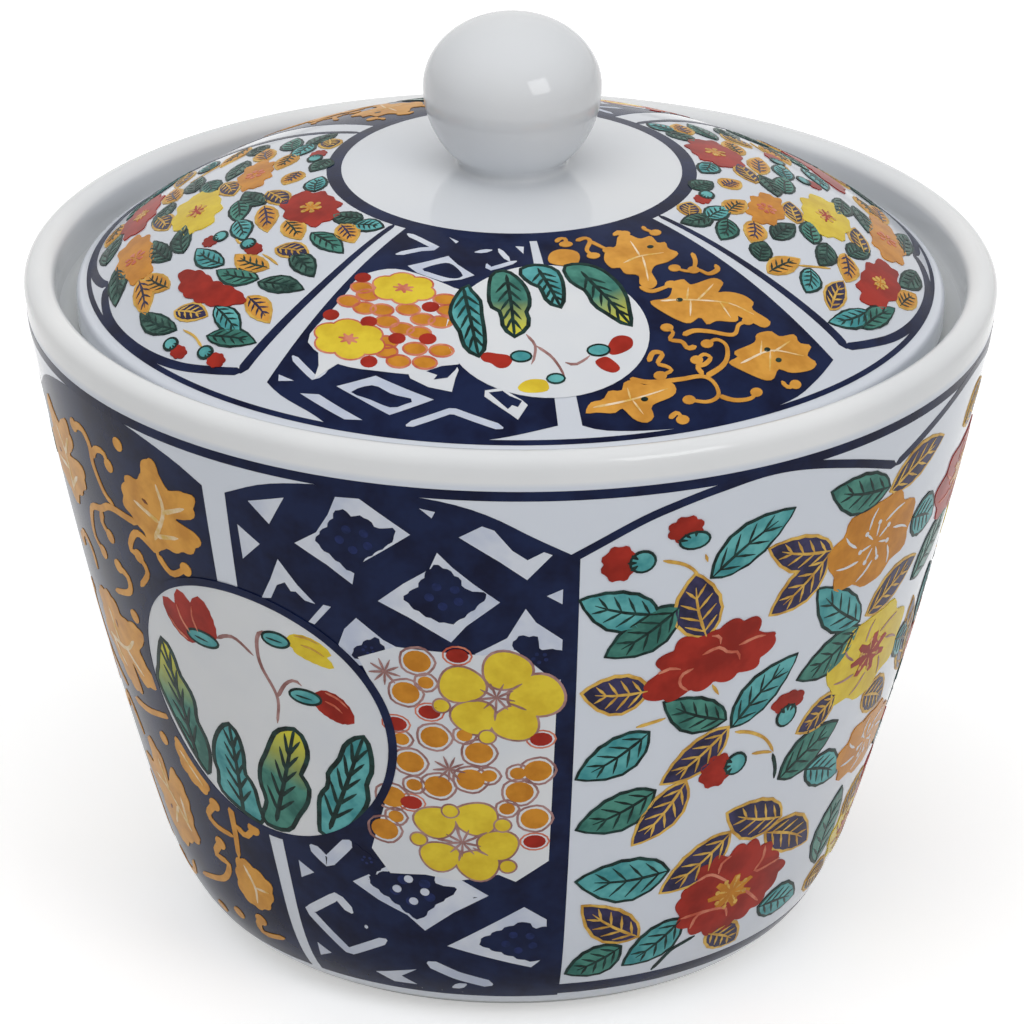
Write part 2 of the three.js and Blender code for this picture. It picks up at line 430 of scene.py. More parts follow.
def porcelain(name, light, shade, painted_shade, level, groove_shade_and_bare_foot=None):
    """Hard-paste porcelain under a clear glaze, darker and bluer outside below a level as painted shade and
    painted blue bounce from the cobalt.

    The last argument is (colour, low, high, foot): painted shade inside between two heights, and at the foot
    bare clay with painted contact shade.
    """
    # Fired white clay: cloudy, with painted shade and painted blue bounce where it is painted, and a
    # wet-looking glaze that ripples faintly.
    material = bpy.data.materials.new(name)
    material.use_nodes = True
    tree = material.node_tree
    shader = tree.nodes["Principled BSDF"]
    place = add_node(tree, "ShaderNodeTexCoord").outputs["Object"]
    cloud_size, ripple_size, ripple_height = 30 * MM, 7 * MM, 0.1 * MM
    cloud = add_node(tree, "ShaderNodeTexNoise", {"Vector": place, "Scale": 1 / cloud_size, "Detail": 2.0})
    tone = two_tones(tree, cloud.outputs["Fac"], *GLAZE_TONES, shade, light)
    height = add_node(tree, "ShaderNodeSeparateXYZ", {"Vector": place}).outputs["Z"]
    faces = add_node(tree, "ShaderNodeNewGeometry").outputs["Normal"]
    level_place = {0: place, 1: (1, 1, 0)}
    away = add_node(tree, "ShaderNodeVectorMath", level_place, operation="MULTIPLY").outputs["Vector"]
    facing = {0: away, 1: faces}
    turned_out = add_node(tree, "ShaderNodeVectorMath", facing, operation="DOT_PRODUCT").outputs["Value"]
    outside = calculate(tree, "GREATER_THAN", turned_out, 0.0)
    low_down = {"Value": height, "From Min": level + PAINTED_SHADE_BLUR, "From Max": level - PAINTED_SHADE_BLUR}
    low_down = add_node(tree, "ShaderNodeMapRange", low_down).outputs["Result"]
    painted = calculate(tree, "MULTIPLY", outside, low_down)
    # Darker, bluer glaze outside below the level: painted shade and painted blue bounce.
    body = mix_colours(tree, painted, tone, linear(painted_shade))
    if groove_shade_and_bare_foot:
        # Painted shade in the groove round the lid, fading into the lip's white, and a ring of bare clay at
        # the foot with painted contact shade.
        clay, low, high, foot = groove_shade_and_bare_foot
        inside = calculate(tree, "SUBTRACT", 1.0, outside)
        above = calculate(tree, "GREATER_THAN", height, low)
        full = low + GROOVE_FULL * (high - low)
        fade = {"Value": height, "From Min": high, "From Max": full, "To Max": GROOVE_SHADE_STRENGTH}
        fade = add_node(tree, "ShaderNodeMapRange", fade).outputs["Result"]
        seat = calculate(tree, "MULTIPLY", calculate(tree, "MULTIPLY", inside, above), fade)
        ring = calculate(tree, "LESS_THAN", height, foot)
        mask = calculate(tree, "MAXIMUM", seat, ring)
        body = mix_colours(tree, mask, body, linear(clay))
        matt = {"Value": mask, "To Min": GLAZE_ROUGHNESS, "To Max": GROOVE_AND_FOOT_ROUGHNESS}
        matt = add_node(tree, "ShaderNodeMapRange", matt)
        tree.links.new(matt.outputs["Result"], shader.inputs["Roughness"])
    ripple = {"Vector": place, "Scale": 1 / ripple_size, "Detail": 1.0}
    ripple = add_node(tree, "ShaderNodeTexNoise", ripple)
    bump = {"Height": ripple.outputs["Fac"], "Strength": 0.12, "Distance": ripple_height}
    bump = add_node(tree, "ShaderNodeBump", bump)
    tree.links.new(body, shader.inputs["Base Color"])
    tree.links.new(bump.outputs["Normal"], shader.inputs["Normal"])
    shader.inputs["Roughness"].default_value = GLAZE_ROUGHNESS
    shader.inputs["IOR"].default_value = GLAZE_IOR
    return material


def paint(name, light, deep, grain, roughness, metallic=0.0, tip=None):
    """Fired paint: two tones of one colour mixed by brush-sized clouds, and a tip colour if given."""
    material = bpy.data.materials.new(name)
    material.use_nodes = True
    tree = material.node_tree
    shader = tree.nodes["Principled BSDF"]
    place = add_node(tree, "ShaderNodeTexCoord")
    cloud = {"Vector": place.outputs["Object"], "Scale": 1 / (grain * MM), "Detail": 3.0, "Roughness": 0.6}
    cloud = add_node(tree, "ShaderNodeTexNoise", cloud)
    result = two_tones(tree, cloud.outputs["Fac"], *PAINT_TONES, deep, light)
    if tip:
        along = add_node(tree, "ShaderNodeSeparateXYZ", {"Vector": place.outputs["UV"]}).outputs["Y"]
        near = {"Value": along, "From Min": TIP_SPAN[0], "From Max": TIP_SPAN[1]}
        near = add_node(tree, "ShaderNodeMapRange", near)
        result = mix_colours(tree, near.outputs["Result"], result, linear(tip))
    tree.links.new(result, shader.inputs["Base Color"])
    shader.inputs["Roughness"].default_value = roughness
    shader.inputs["Metallic"].default_value = metallic
    shader.inputs["IOR"].default_value = PAINT_IOR
    shader.inputs["Specular IOR Level"].default_value = PAINT_SHINE
    return material


class Skin:
    """A turned surface to paint on: an angle in degrees across, and a station in mm down or outwards."""

    def __init__(self, station, radius, height):
        """Stations rise from the first point to the last; radius and height are in metres."""
        self.station = station
        self.radius = radius
        self.height = height
        slope = np.stack([np.gradient(radius), np.gradient(height)], 1)
        slope /= np.linalg.norm(slope, axis=1)[:, None]
        self.out = np.stack([-slope[:, 1], slope[:, 0]], 1)
        self.step = np.hypot(np.gradient(radius), np.gradient(height)) / np.gradient(station) / MM

    def scale(self, spots):
        """Millimetres per degree and per station at the middle of some spots."""
        middle = float(np.mean(spots[:, 1]))
        across = np.interp(middle, self.station, self.radius) / MM * math.pi / 180
        return np.array([across, np.interp(middle, self.station, self.step)])

    def scale_at(self, station):
        """Millimetres per degree and per station at one station."""
        return self.scale(np.array([[0, station]]))

    def points(self, spots, lift, turn):
        """Point = (r sin a, -r cos a, z), moved out along the surface's normal by lift in mm."""
        down = spots[:, 1]
        angle = np.radians(spots[:, 0] + turn)
        radius = np.interp(down, self.station, self.radius)
        radius = radius + np.interp(down, self.station, self.out[:, 0]) * lift * MM
        height = np.interp(down, self.station, self.height)
        height = height + np.interp(down, self.station, self.out[:, 1]) * lift * MM
        return np.stack([radius * np.sin(angle), -radius * np.cos(angle), height], 1)


def wall_skin(sizes):
    """Bowl's outside, measured in mm down its surface from the lip's level."""
    path = outer_wall(sizes)[::-1]
    fine = np.linspace(0, 1, SKIN_STEPS)
    run = np.concatenate([[0], np.cumsum(np.linalg.norm(np.diff(path, axis=0), axis=1))])
    station = fine * run[-1]
    radius, height = np.interp(station, run, path[:, 0]), np.interp(station, run, path[:, 1])
    return Skin(station / MM, radius, height)


def lid_skin(sizes):
    """Lid's outside, measured in mm of plan radius from its middle."""
    path = lid_top(sizes)[::-1]
    radius = np.linspace(0, path[-1, 0], SKIN_STEPS)
    return Skin(radius / MM, radius, np.interp(radius, path[:, 0], path[:, 1]))


def smooth(points, closed, spacing, scale):
    """Curve through the points, half the next minus last as its slope at each, spaced evenly in mm."""
    points = np.array(points, float)
    if closed:
        before, after = np.roll(points, 1, 0), np.roll(points, -1, 0)
        start, end, slope = points, after, (after - before) / 2
        end_slope = np.roll(slope, -1, 0)
    else:
        slope = np.gradient(points, axis=0) if len(points) > 2 else np.repeat(points[1:] - points[:1], 2, 0)
        start, end, end_slope, slope = points[:-1], points[1:], slope[1:], slope[:-1]
    t = np.linspace(0, 1, 10, endpoint=False)[None, :, None]
    start, end, slope, end_slope = (a[:, None, :] for a in (start, end, slope, end_slope))
    path = (
        (2 * t**3 - 3 * t**2 + 1) * start
        + (t**3 - 2 * t**2 + t) * slope
        + (3 * t**2 - 2 * t**3) * end
        + (t**3 - t**2) * end_slope
    ).reshape(-1, 2)
    path = np.concatenate([path, points[:1] if closed else points[-1:]])
    return resample(path, closed, spacing, scale)


def resample(path, closed, spacing, scale):
    """Evenly spaced points along a path whose last point closes it if closed."""
    run = np.concatenate([[0], np.cumsum(np.linalg.norm(np.diff(path, axis=0) * scale, axis=1))])
    count = max(int(math.ceil(run[-1] / spacing)), 8 if closed else 2)
    at = np.linspace(0, run[-1], count + 1)
    if closed:
        at = at[:-1]
    return np.stack([np.interp(at, run, path[:, 0]), np.interp(at, run, path[:, 1])], 1)


def angular(points, spacing, scale):
    """Closed outline with straight sides and its corners kept, points no further apart than spacing."""
    points = np.array(points, float)
    sides = []
    for start, end in zip(points, np.roll(points, -1, 0)):
        count = max(int(math.ceil(np.linalg.norm((end - start) * scale) / spacing)), 1)
        sides.append(np.linspace(start, end, count, endpoint=False))
    return np.concatenate(sides)


# Heights over the glaze in mm: the closed underside of a paint, then its layers from ground to line.
SUNK = -0.06
GROUND, RESERVE, HEART, DAPPLE = 0.030, 0.045, 0.058, 0.068
WHITE, UNDER, FILL, OVER, LINE = 0.080, 0.095, 0.115, 0.130, 0.150
# Widest gap between a fill's rings in mm, and the least share of its width at a stroke's end.
RING_GAP, END_SHARE = 1.9, 0.06


class Brush:
    """Lays painted shapes on a skin and keeps them by paint, each shape once for every turn."""

    def __init__(self, skin, turns):
        """Skin to paint on, and the angles in degrees at which the pattern repeats."""
        self.skin = skin
        self.turns = turns
        self.shapes = {}

    def keep(self, paint_name, spots, lift, faces, share):
        """Stores one shape at each turn of the pattern."""
        for turn in self.turns:
            points = self.skin.points(spots, lift, turn)
            self.shapes.setdefault(paint_name, []).append((points, faces, share))

    def fan(self, paint_name, edge, level, axis=None, middle=None):
        """Fills a star-shaped edge: spot(t, k) = middle + t (edge k - middle), closed under the glaze."""
        scale = self.skin.scale(edge)
        x, y = edge[:, 0], edge[:, 1]
        if np.sum(x * np.roll(y, -1) - np.roll(x, -1) * y) > 0:
            edge = edge[::-1]
        middle = edge.mean(0) if middle is None else np.array(middle, float)
        count = len(edge)
        reach = np.linalg.norm((edge - middle) * scale, axis=1).max()
        rings = max(int(math.ceil(reach / RING_GAP)), 1)
        t = np.linspace(0, 1, rings + 1)[1:, None, None]
        grid = (middle + t * (edge - middle)).reshape(-1, 2)
        spots = np.concatenate([[middle], grid, edge, [middle]])
        lift = np.concatenate([[level], np.full(rings * count, level), np.full(count + 1, SUNK)])
        first = np.arange(count)
        after = (first + 1) % count
        row = 1 + np.arange(rings)[:, None] * count
        corners = [row + first, row + count + first, row + count + after, row + after]
        quads = np.stack(corners, -1).reshape(-1, 4)
        top = np.stack([np.zeros(count, int), 1 + first, 1 + after], -1)
        low = 1 + rings * count
        bottom = np.stack([np.full(count, low + count), low + after, low + first], -1)
        share = np.zeros((len(spots), 2))
        if axis is not None:
            base, tip = np.array(axis, float) * scale
            share[:, 1] = ((spots * scale - base) @ (tip - base)) / np.sum((tip - base) ** 2)
        self.keep(paint_name, spots, lift, [quads, top, bottom], np.clip(share, 0, 1))

    def stroke(self, paint_name, points, width, level, closed=False, taper=0.0, spacing=0.7, curved=True):
        """Flat band along a path, its width in mm and thinned by taper, with round ends, closed below."""
        points = np.array(points, float)
        scale = self.skin.scale(points)
        if curved:
            path = smooth(points, closed, spacing, scale)
        else:
            whole = np.concatenate([points, points[:1]]) if closed else points
            path = resample(whole, closed, spacing, scale)
        count = len(path)
        flat = path * scale
        along = np.roll(flat, -1, 0) - np.roll(flat, 1, 0) if closed else np.gradient(flat, axis=0)
        along /= np.maximum(np.linalg.norm(along, axis=1), 1e-9)[:, None]
        side = np.stack([along[:, 1], -along[:, 0]], 1)
        half = np.full(count, width / 2)
        if not closed:
            run = np.concatenate([[0], np.cumsum(np.linalg.norm(np.diff(flat, axis=0), axis=1))])
            half = half * (1 - taper * run / run[-1])
            half = half * np.sqrt(np.clip(np.minimum(run, run[-1] - run) / (width / 2), END_SHARE, 1))
        left, right = (flat - side * half[:, None]) / scale, (flat + side * half[:, None]) / scale
        spots = np.stack([left, left, right, right], 1).reshape(-1, 2)
        lift = np.tile([SUNK, level, level, SUNK], count)
        first = np.arange(4)
        after = (first + 1) % 4
        ring = np.arange(count if closed else count - 1)[:, None] * 4
        next_ring = (ring + 4) % (4 * count)
        corners = [ring + first, ring + after, next_ring + after, next_ring + first]
        quads = np.stack(corners, -1).reshape(-1, 4)
        faces = [quads[:, ::-1]]
        if not closed:
            last = 4 * (count - 1)
            faces += [np.array([[0, 1, 2, 3]]), np.array([[last + 3, last + 2, last + 1, last]])]
        self.keep(paint_name, spots, lift, faces, np.zeros((len(spots), 2)))

    def lines(self, paint_name, paths, width, level, taper=0.0):
        """One stroke of the same kind along each path."""
        for path in paths:
            self.stroke(paint_name, path, width, level, taper=taper)

    def panel(self, paint_name, top, bottom, level, rows):
        """Ground between two edges that run left to right: spot(u, t) = top(u) + t (bottom(u) - top(u))."""
        columns = len(top)
        t = np.linspace(0, 1, rows)[:, None, None]
        grid = (top + t * (bottom - top)).reshape(-1, 2)
        spots = np.concatenate([grid, grid])
        lift = np.concatenate([np.full(len(grid), level), np.full(len(grid), SUNK)])
        corner = (np.arange(rows - 1)[:, None] * columns + np.arange(columns - 1)).reshape(-1)
        upper = np.stack([corner, corner + columns, corner + columns + 1, corner + 1], -1)
        under = upper[:, ::-1] + len(grid)
        sides = (
            np.arange(columns - 1),
            np.arange(rows - 1) * columns + columns - 1,
            (rows - 1) * columns + np.arange(columns - 1, 0, -1),
            np.arange(rows - 1, 0, -1) * columns,
        )
        rim = np.concatenate(sides)
        beyond = np.roll(rim, -1)
        side = np.stack([rim, beyond, beyond + len(grid), rim + len(grid)], -1)
        self.keep(paint_name, spots, lift, [upper, under, side], np.zeros((len(spots), 2)))

    def pieces(self, prefix, materials, body):
        """One mesh for each paint, riding on the body that it is painted on."""
        for paint_name, shapes in self.shapes.items():
            offsets = np.cumsum([0] + [len(points) for points, _, _ in shapes])
            points = np.concatenate([points for points, _, _ in shapes])
            share = np.concatenate([share for _, _, share in shapes])
            faces = [group + offset for (_, groups, _), offset in zip(shapes, offsets) for group in groups]
            material = materials[paint_name]
            made = make_piece(f"{prefix}_{paint_name}", points, faces, share, material, PAINT_SHARP)
            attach(made, body)


def mix_paints(colours):
    """All the paints by short name: fired colours over or under the clear glaze.

    The numbers are the size of the brush clouds in mm, the roughness and, for gold, the metallic share.
    """
    return {
        # Underglaze blue, washed on with a wide brush: uneven depth under a wet gloss.
        "cobalt": paint("underglaze cobalt blue", colours.cobalt, colours.cobalt_deep, 5, 0.2),
        # The same blue thinned with water: cloudy and half clear.
        "wash": paint("thin cobalt wash", colours.wash, colours.cobalt, 2, 0.2),
        # Bare white left between blue strokes, tinted where the blue ran.
        "reserve": paint("white left in the blue", colours.reserve, colours.reserve_tint, 6, 0.2),
        # Plain glaze over a painted ground.
        "white": paint("white enamel ground", colours.glaze, colours.glaze_shade, 20, 0.18),
        # Thin black drawing line that shows green at its edges.
        "ink": paint("black drawing line", colours.ink, colours.ink_thin, 1.5, 0.3),
        # Glassy leaf enamels that pool darker.
        "turquoise": paint("turquoise enamel", colours.turquoise, colours.turquoise_deep, 3.2, 0.2),
        "green": paint("sea-green enamel", colours.green, colours.green_deep, 3.2, 0.2),
        "tipped": paint(
            "green enamel with yellow tip", colours.green, colours.green_deep, 3, 0.2, tip=colours.tip
        ),
        # Green gone over with thin black.
        "dusk": paint("black-green enamel", colours.dusk, colours.dusk_deep, 1.6, 0.22),
        # Iron red, thin and even, with a soft gloss.
        "red": paint("iron red enamel", colours.red, colours.red_deep, 4, 0.28),
        "yellow": paint("yellow enamel", colours.yellow, colours.yellow_deep, 3, 0.22),
        "orange": paint("orange enamel", colours.orange, colours.orange_deep, 2.5, 0.24),
        # Ochre gold: an enamel with a dull metallic sheen, blotchy from the brush.
        "gold": paint("ochre gold enamel", colours.gold, colours.gold_deep, 3, 0.34, 0.1),
        "gold_line": paint("gold pen line", colours.gold_line, colours.gold_line_worn, 2, 0.34, 0.15),
        "straw": paint("pale gold vein", colours.straw, colours.gold_line, 2, 0.3),
        "navy": paint("navy leaf enamel", colours.navy, colours.navy_deep, 2.5, 0.24),
        "mauve": paint("mauve drawing line", colours.mauve, colours.mauve_deep, 2, 0.3),
        "blush": paint("pale petal line", colours.blush, colours.blush_deep, 2, 0.3),
        "brown": paint("red-brown dash", colours.brown, colours.brown_deep, 2, 0.3),
    }


def level_line(start, end, station, count):
    """Spots from one angle to another at one station."""
    return np.stack([np.linspace(start, end, count), np.full(count, station)], 1)


# A spot is an angle in degrees from the front and, on the wall, mm down from the lip's level.
# On the lid it is the angle and the plan radius in mm. The pattern repeats at these angles.
TURNS = (0, 180)
# Half a turn with a little overlap, and the station at which the wall's degrees are turned into mm.
HALF_TURN = (-3, 183)
WALL_MIDDLE = 36.0
# Station and width of the line under the lip, and where the blue grounds end.
WALL_LINE = (3.08, 1.15)
WALL_BOTTOM = 72.8
GOLD_ARCH = [
    (-82, 10.6), (-78, 8.2), (-73, 5.6), (-66, 3.9), (-58, 3.4), (-50, 3.8), (-43, 5.4), (-38.5, 7.4),
]
LATTICE_ARCH = [
    (-35.1, 7.4), (-30, 5.2), (-25, 4), (-20, 3.5), (-13, 3.5), (-7, 4.1), (-2, 5.6), (3, 8.2), (8.5, 11),
]
CAMELLIA_ARCH = [(6.9, 11.3), (15, 7.1), (20, 5.3), (25, 4.1), (31, 3.3), (37, 3.8), (45, 5.8), (52.6, 8.3)]
# Blue grounds: the arch, and the angles of the two lower corners.
WALL_GROUNDS = ((GOLD_ARCH, -81.2, -38.2), (LATTICE_ARCH, -35.9, 9.8))
# Sum of the angles of an arch point and its mirrored one, and the bar at the camellia panel's foot.
CAMELLIA_MIRROR = 105.2
CAMELLIA_FOOT, CAMELLIA_FOOT_TOP, CAMELLIA_FOOT_LOW = (9, 98.5), 70.4, 72.4


def wall_frames(brush):
    """Line round the wall, blue grounds under their arches, and the camellia panel's frame."""
    scale = brush.skin.scale_at(WALL_MIDDLE)
    line_at, line_width = WALL_LINE
    brush.stroke("cobalt", level_line(*HALF_TURN, line_at, 125), line_width, GROUND, spacing=1.5)
    for arch, low_left, low_right in WALL_GROUNDS:
        top = smooth(arch, False, 1.5, scale)
        bottom = level_line(low_left, low_right, WALL_BOTTOM, len(top))
        brush.panel("cobalt", top, bottom, GROUND, 44)
    far = [(CAMELLIA_MIRROR - across, down) for across, down in CAMELLIA_ARCH[::-1]]
    for arch in (CAMELLIA_ARCH, far):
        brush.stroke("cobalt", arch, 1.0, GROUND + 0.01)
    top = level_line(*CAMELLIA_FOOT, CAMELLIA_FOOT_TOP, 60)
    brush.panel("cobalt", top, level_line(*CAMELLIA_FOOT, CAMELLIA_FOOT_LOW, 60), GROUND, 4)


# Radius and width of the lid's two rings, and the half turn of the inner one.
LID_BORDER = (45.5, 0.6)
MEDALLION = (19.1, 1.6)
MEDALLION_TURN = (-4, 184)
# Plan radii in mm at which degrees are turned into mm, for the grounds, the panels and the sprays.
LID_OUTER, LID_MIDDLE, LID_SPRAY = 40.0, 36.0, 37.0
# Blue grounds: the outer edge, and the angles of the two inner corners at the inner radius.
LID_GROUNDS = (
    (((-36.1, 43), (-33, 43.8), (-27.5, 44.7), (-23.5, 45.5), (-14, 45.7), (-4, 45.4), (6.6, 44)),
     -34, 5.6),
    (((9.9, 44.1), (14, 44.8), (27, 45.4), (40, 45.2), (46, 44.4), (51.8, 43.3)), 7.8, 48.8),
)
LID_GROUND_INNER = 19.2


def lid_frames(brush):
    """Border line, medallion ring, and two blue grounds with a white stripe between them."""
    border_at, border_width = LID_BORDER
    medallion_at, medallion_width = MEDALLION
    brush.stroke("cobalt", level_line(*HALF_TURN, border_at, 125), border_width, GROUND)
    brush.stroke("cobalt", level_line(*MEDALLION_TURN, medallion_at, 95), medallion_width, GROUND)
    scale = brush.skin.scale_at(LID_OUTER)
    for edge, left, right in LID_GROUNDS:
        outer = smooth(edge, False, 1.2, scale)
        inner = level_line(left, right, LID_GROUND_INNER, len(outer))
        brush.panel("cobalt", inner, outer, GROUND, 26)


# Points along a leaf, its pairs of veins, the power that sets its belly, its teeth and its sway.
LEAF_STEPS, LEAF_VEINS, LEAF_BELLY, LEAF_TOOTH, LEAF_SWAY = 12, 4, 0.85, 0.03, 0.05
# Belly and point of a bud's petal.
BUD_PETAL = (0.8, 0.5)


def scallop(edge, scale, depth, pitch):
    """Pushes an outline out in round lobes: depth (|sin(pi run / pitch)| - 0.6) away from its middle."""
    flat = edge * scale
    middle = flat.mean(0)
    run = np.concatenate([[0], np.cumsum(np.linalg.norm(np.diff(flat, axis=0), axis=1))])
    whole = run[-1] + np.linalg.norm(flat[0] - flat[-1])
    lobes = max(round(whole / pitch), 3)
    away = flat - middle
    away /= np.linalg.norm(away, axis=1)[:, None]
    push = depth * (np.abs(np.sin(math.pi * lobes * run / whole)) - 0.6)
    return (flat + push[:, None] * away) / scale


def ring_spots(skin, centre, across, along, count, lobes=0, depth=0.0, turn=0.0):
    """Closed oval or flower edge: radius (1 + depth cos(lobes t)) in mm, round a centre."""
    scale = skin.scale_at(centre[1])
    t = np.linspace(0, 2 * math.pi, count, endpoint=False)
    reach = 1 + depth * np.cos(lobes * (t - math.radians(turn)))
    return np.array(centre) + np.stack([across * reach * np.cos(t), along * reach * np.sin(t)], 1) / scale


def disc(brush, paint_name, centre, radius, level, outline=None, line=0.3):
    """Round dab of paint, with a drawn line round it if one is named."""
    across, along = radius if isinstance(radius, tuple) else (radius, radius)
    count = max(int(round(6 * (across + along))), 14)
    edge = ring_spots(brush.skin, centre, across, along, count)
    brush.fan(paint_name, edge, level)
    if outline:
        brush.stroke(outline, edge, line, level + 0.012, closed=True, curved=False, spacing=0.35)


def leaf_edge(skin, base, tip, width, belly, point=0.8):
    """Leaf outline: half width = width/2 sin(pi s^belly)^point, lightly toothed, along a swaying line."""
    scale = skin.scale(np.array([base, tip]))
    start, end = np.array(base) * scale, np.array(tip) * scale
    axis = end - start
    side = np.array([axis[1], -axis[0]]) / np.linalg.norm(axis)
    s = np.linspace(0, 1, LEAF_STEPS)
    half = width / 2 * np.clip(np.sin(math.pi * s**belly), 0, 1) ** point
    tooth = 1 + LEAF_TOOTH * np.where(np.arange(LEAF_STEPS) % 2 == 0, 1, -1)
    sway = LEAF_SWAY * np.linalg.norm(axis) * np.sin(math.pi * s)
    spine = start + s[:, None] * axis + sway[:, None] * side
    upper = spine + (half * tooth)[:, None] * side
    lower = spine - (half * tooth)[:, None] * side
    return np.concatenate([upper[:-1], lower[:0:-1]]) / scale, spine / scale, half[:, None] * side / scale


def leaf(brush, fill, line, base, tip, width, vein=None, line_width=0.4):
    """Leaf of one paint with an outline of another, and a midrib and slanting veins of that or a third."""
    edge, spine, half = leaf_edge(brush.skin, base, tip, width, LEAF_BELLY)
    scale = brush.skin.scale(edge)
    middle = edge.mean(0)
    grow = edge - middle
    grow = grow * (1 + line_width / np.linalg.norm(grow * scale, axis=1))[:, None]
    brush.fan(line, middle + grow, UNDER)
    brush.fan(fill, edge, FILL, (base, tip))
    vein = vein or line
    brush.stroke(vein, spine[:-1:3], line_width * 1.1, LINE, taper=0.5, spacing=2.0)
    for k in range(LEAF_VEINS):
        root = 1 + 2 * k
        for hand in (0.84, -0.84):
            end = spine[root + 2] + hand * half[root + 2]
            brush.stroke(vein, [spine[root], end], line_width * 1.1, LINE - 0.005, taper=0.45, spacing=2.0)


LATTICE_WHITE = (
    ((-31.8, 7.6), (-26.8, 6.1), (-29.2, 9.9)), ((-33.8, 11), (-30.9, 12.8), (-33.7, 15.3)),
    ((4.7, 15.6), (6.6, 14.8), (6.6, 16.7)), ((-33.3, 55.3), (-30.8, 56.5), (-33.4, 57.7)),
    ((-33.5, 67.3), (-31.2, 68.5), (-33.9, 69.5)), ((-10.2, 5), (-8.4, 5.3), (-8.8, 6.1)),
    ((-20.2, 4.8), (-17.3, 4.6), (-11.4, 8.4), (-14.8, 10.8), (-18.3, 13.2), (-18.9, 15.6), (-22, 13.6),
     (-26, 11.6), (-23, 9.7), (-21.3, 7.2)),
    ((-8.3, 10.4), (-6.5, 12.2), (-4, 14.2), (-0.9, 16.4), (-5, 19.6), (-6.9, 21.8), (-12, 19),
     (-15.8, 17.3), (-12.5, 14.7), (-9.3, 12.6)), ((-23, 18.9), (-22, 19), (-24.5, 21.7), (-25.3, 21.5)),
    ((-18.8, 19.9), (-15.5, 22.3), (-13, 23.4), (-15, 25.5), (-19.5, 26.2), (-21.5, 23.8), (-20.5, 21.6)),
    ((2.2, 17.2), (3.5, 19), (6.8, 21.3), (6.8, 27.5), (1, 25.5), (-4, 23.2), (0, 21)),
    ((-24, 56.4), (-20, 58.4), (-15.5, 60), (-12.8, 62), (-8, 59), (-2.5, 56.3), (-7, 54), (-12, 53),
     (-18, 53.4)), ((-9.3, 64), (3, 57.9), (6.6, 59.8), (6.9, 65.2), (4.5, 67)),
    ((-23, 70), (-15.2, 68.4), (-18.3, 70), (-15.7, 71.3), (-20, 71.4)),
)
LATTICE_CHEVRONS = (
    (((-5.7, 8.3), (-3, 6.8), (-1.6, 7.3), (0.5, 9.8), (2.3, 11), (4.2, 10), (5.2, 10.4), (2.3, 13.5),
      (-1, 11.2)), (1.8, 11.9)),
    (((-28.6, 14.2), (-26.3, 17), (-24.1, 19), (-25.5, 18.8), (-26.6, 17.9), (-27.3, 18), (-28, 17),
      (-29.2, 17.6), (-30.3, 19.5), (-31.7, 19.8), (-30, 17)), (-28.5, 15.8)),
)
LATTICE_STROKES = (
    (((-25, 61.2), (-27.3, 59.1), (-33.4, 62.4), (-27.2, 67.4), (-19.6, 64.2)), 1.1),
    (((-13, 66.9), (-8, 68.8), (-2, 70.2)), 1.4), (((-6.6, 70.3), (-9.2, 71.2)), 0.9),
    (((-30.5, 52.5), (-27.9, 54.5), (-25.2, 52.2), (-23.4, 50.6)), 1.4),
    (((-23.2, 62.8), (-22.6, 62.8)), 0.9),
)
LATTICE_BLUE = (
    ((-19.7, 6.6), (-18.2, 7.2), (-17, 7.1), (-15.5, 8.2), (-13.9, 8), (-14.2, 9.6), (-17.3, 12),
     (-18.4, 13.7), (-20.7, 12.3), (-22.6, 10.6), (-21, 8.5)),
    ((-9, 12.7), (-7.8, 12.5), (-6, 13.7), (-5.2, 15), (-3, 15.4), (-4.2, 17), (-6, 18.5), (-7, 19),
     (-9, 18.6), (-11, 17.5), (-12, 16.3), (-10.5, 15)),
    ((-19.5, 24.3), (-17, 22.4), (-16, 22.7), (-15.8, 24), (-18.6, 25.2)),
    ((1.3, 21.3), (3.8, 21.2), (3.9, 22.5), (6.8, 23), (6.8, 26.2), (2.5, 24.8), (1.3, 24.2)),
    ((-20.5, 55.8), (-17.5, 54.2), (-15.5, 53.6), (-11.3, 54), (-10.8, 55.2), (-8, 55.7), (-11.5, 58.2),
     (-13.8, 60), (-17, 58.2)),
    ((-3.4, 63), (2.7, 60.4), (4.5, 61.2), (6.7, 61.3), (6.7, 64.8), (4.5, 65.7), (0.5, 64.7)),
    ((-23, 51), (-20, 52.5), (-18.7, 53), (-21, 54.9)),
)
LATTICE_DOTS = ((-14.7, 54.7), (-16.7, 56.3), (-12.3, 56.3), (-14.2, 57.8))

# A blue heart: its growth, its ragged edge's depth and pitch in mm, and its dabs' reach, size and stretch.
HEART_GROW, HEART_DEPTH, HEART_PITCH = 1.12, 0.3, 1.5
HEART_DABS, DAB_REACH, DAB_SIZE, DAB_STRETCH = 5, 0.55, 0.22, 1.25


def heart(brush, outline):
    """Blue heart of a lozenge: a ragged dab, mottled with a paler wash."""
    scale = brush.skin.scale(np.array(outline, float))
    edge = smooth(outline, True, 0.45, scale)
    middle = edge.mean(0)
    edge = scallop(middle + HEART_GROW * (edge - middle), scale, HEART_DEPTH, HEART_PITCH)
    brush.fan("cobalt", edge, HEART)
    reach = np.linalg.norm((edge - middle) * scale, axis=1).min()
    for k in range(HEART_DABS):
        turn = 2 * math.pi * (k + 0.35) / HEART_DABS
        way = np.array([DAB_STRETCH * math.cos(turn), math.sin(turn)]) * DAB_REACH * reach / scale
        disc(brush, "wash", middle + way, DAB_SIZE * reach, DAPPLE)


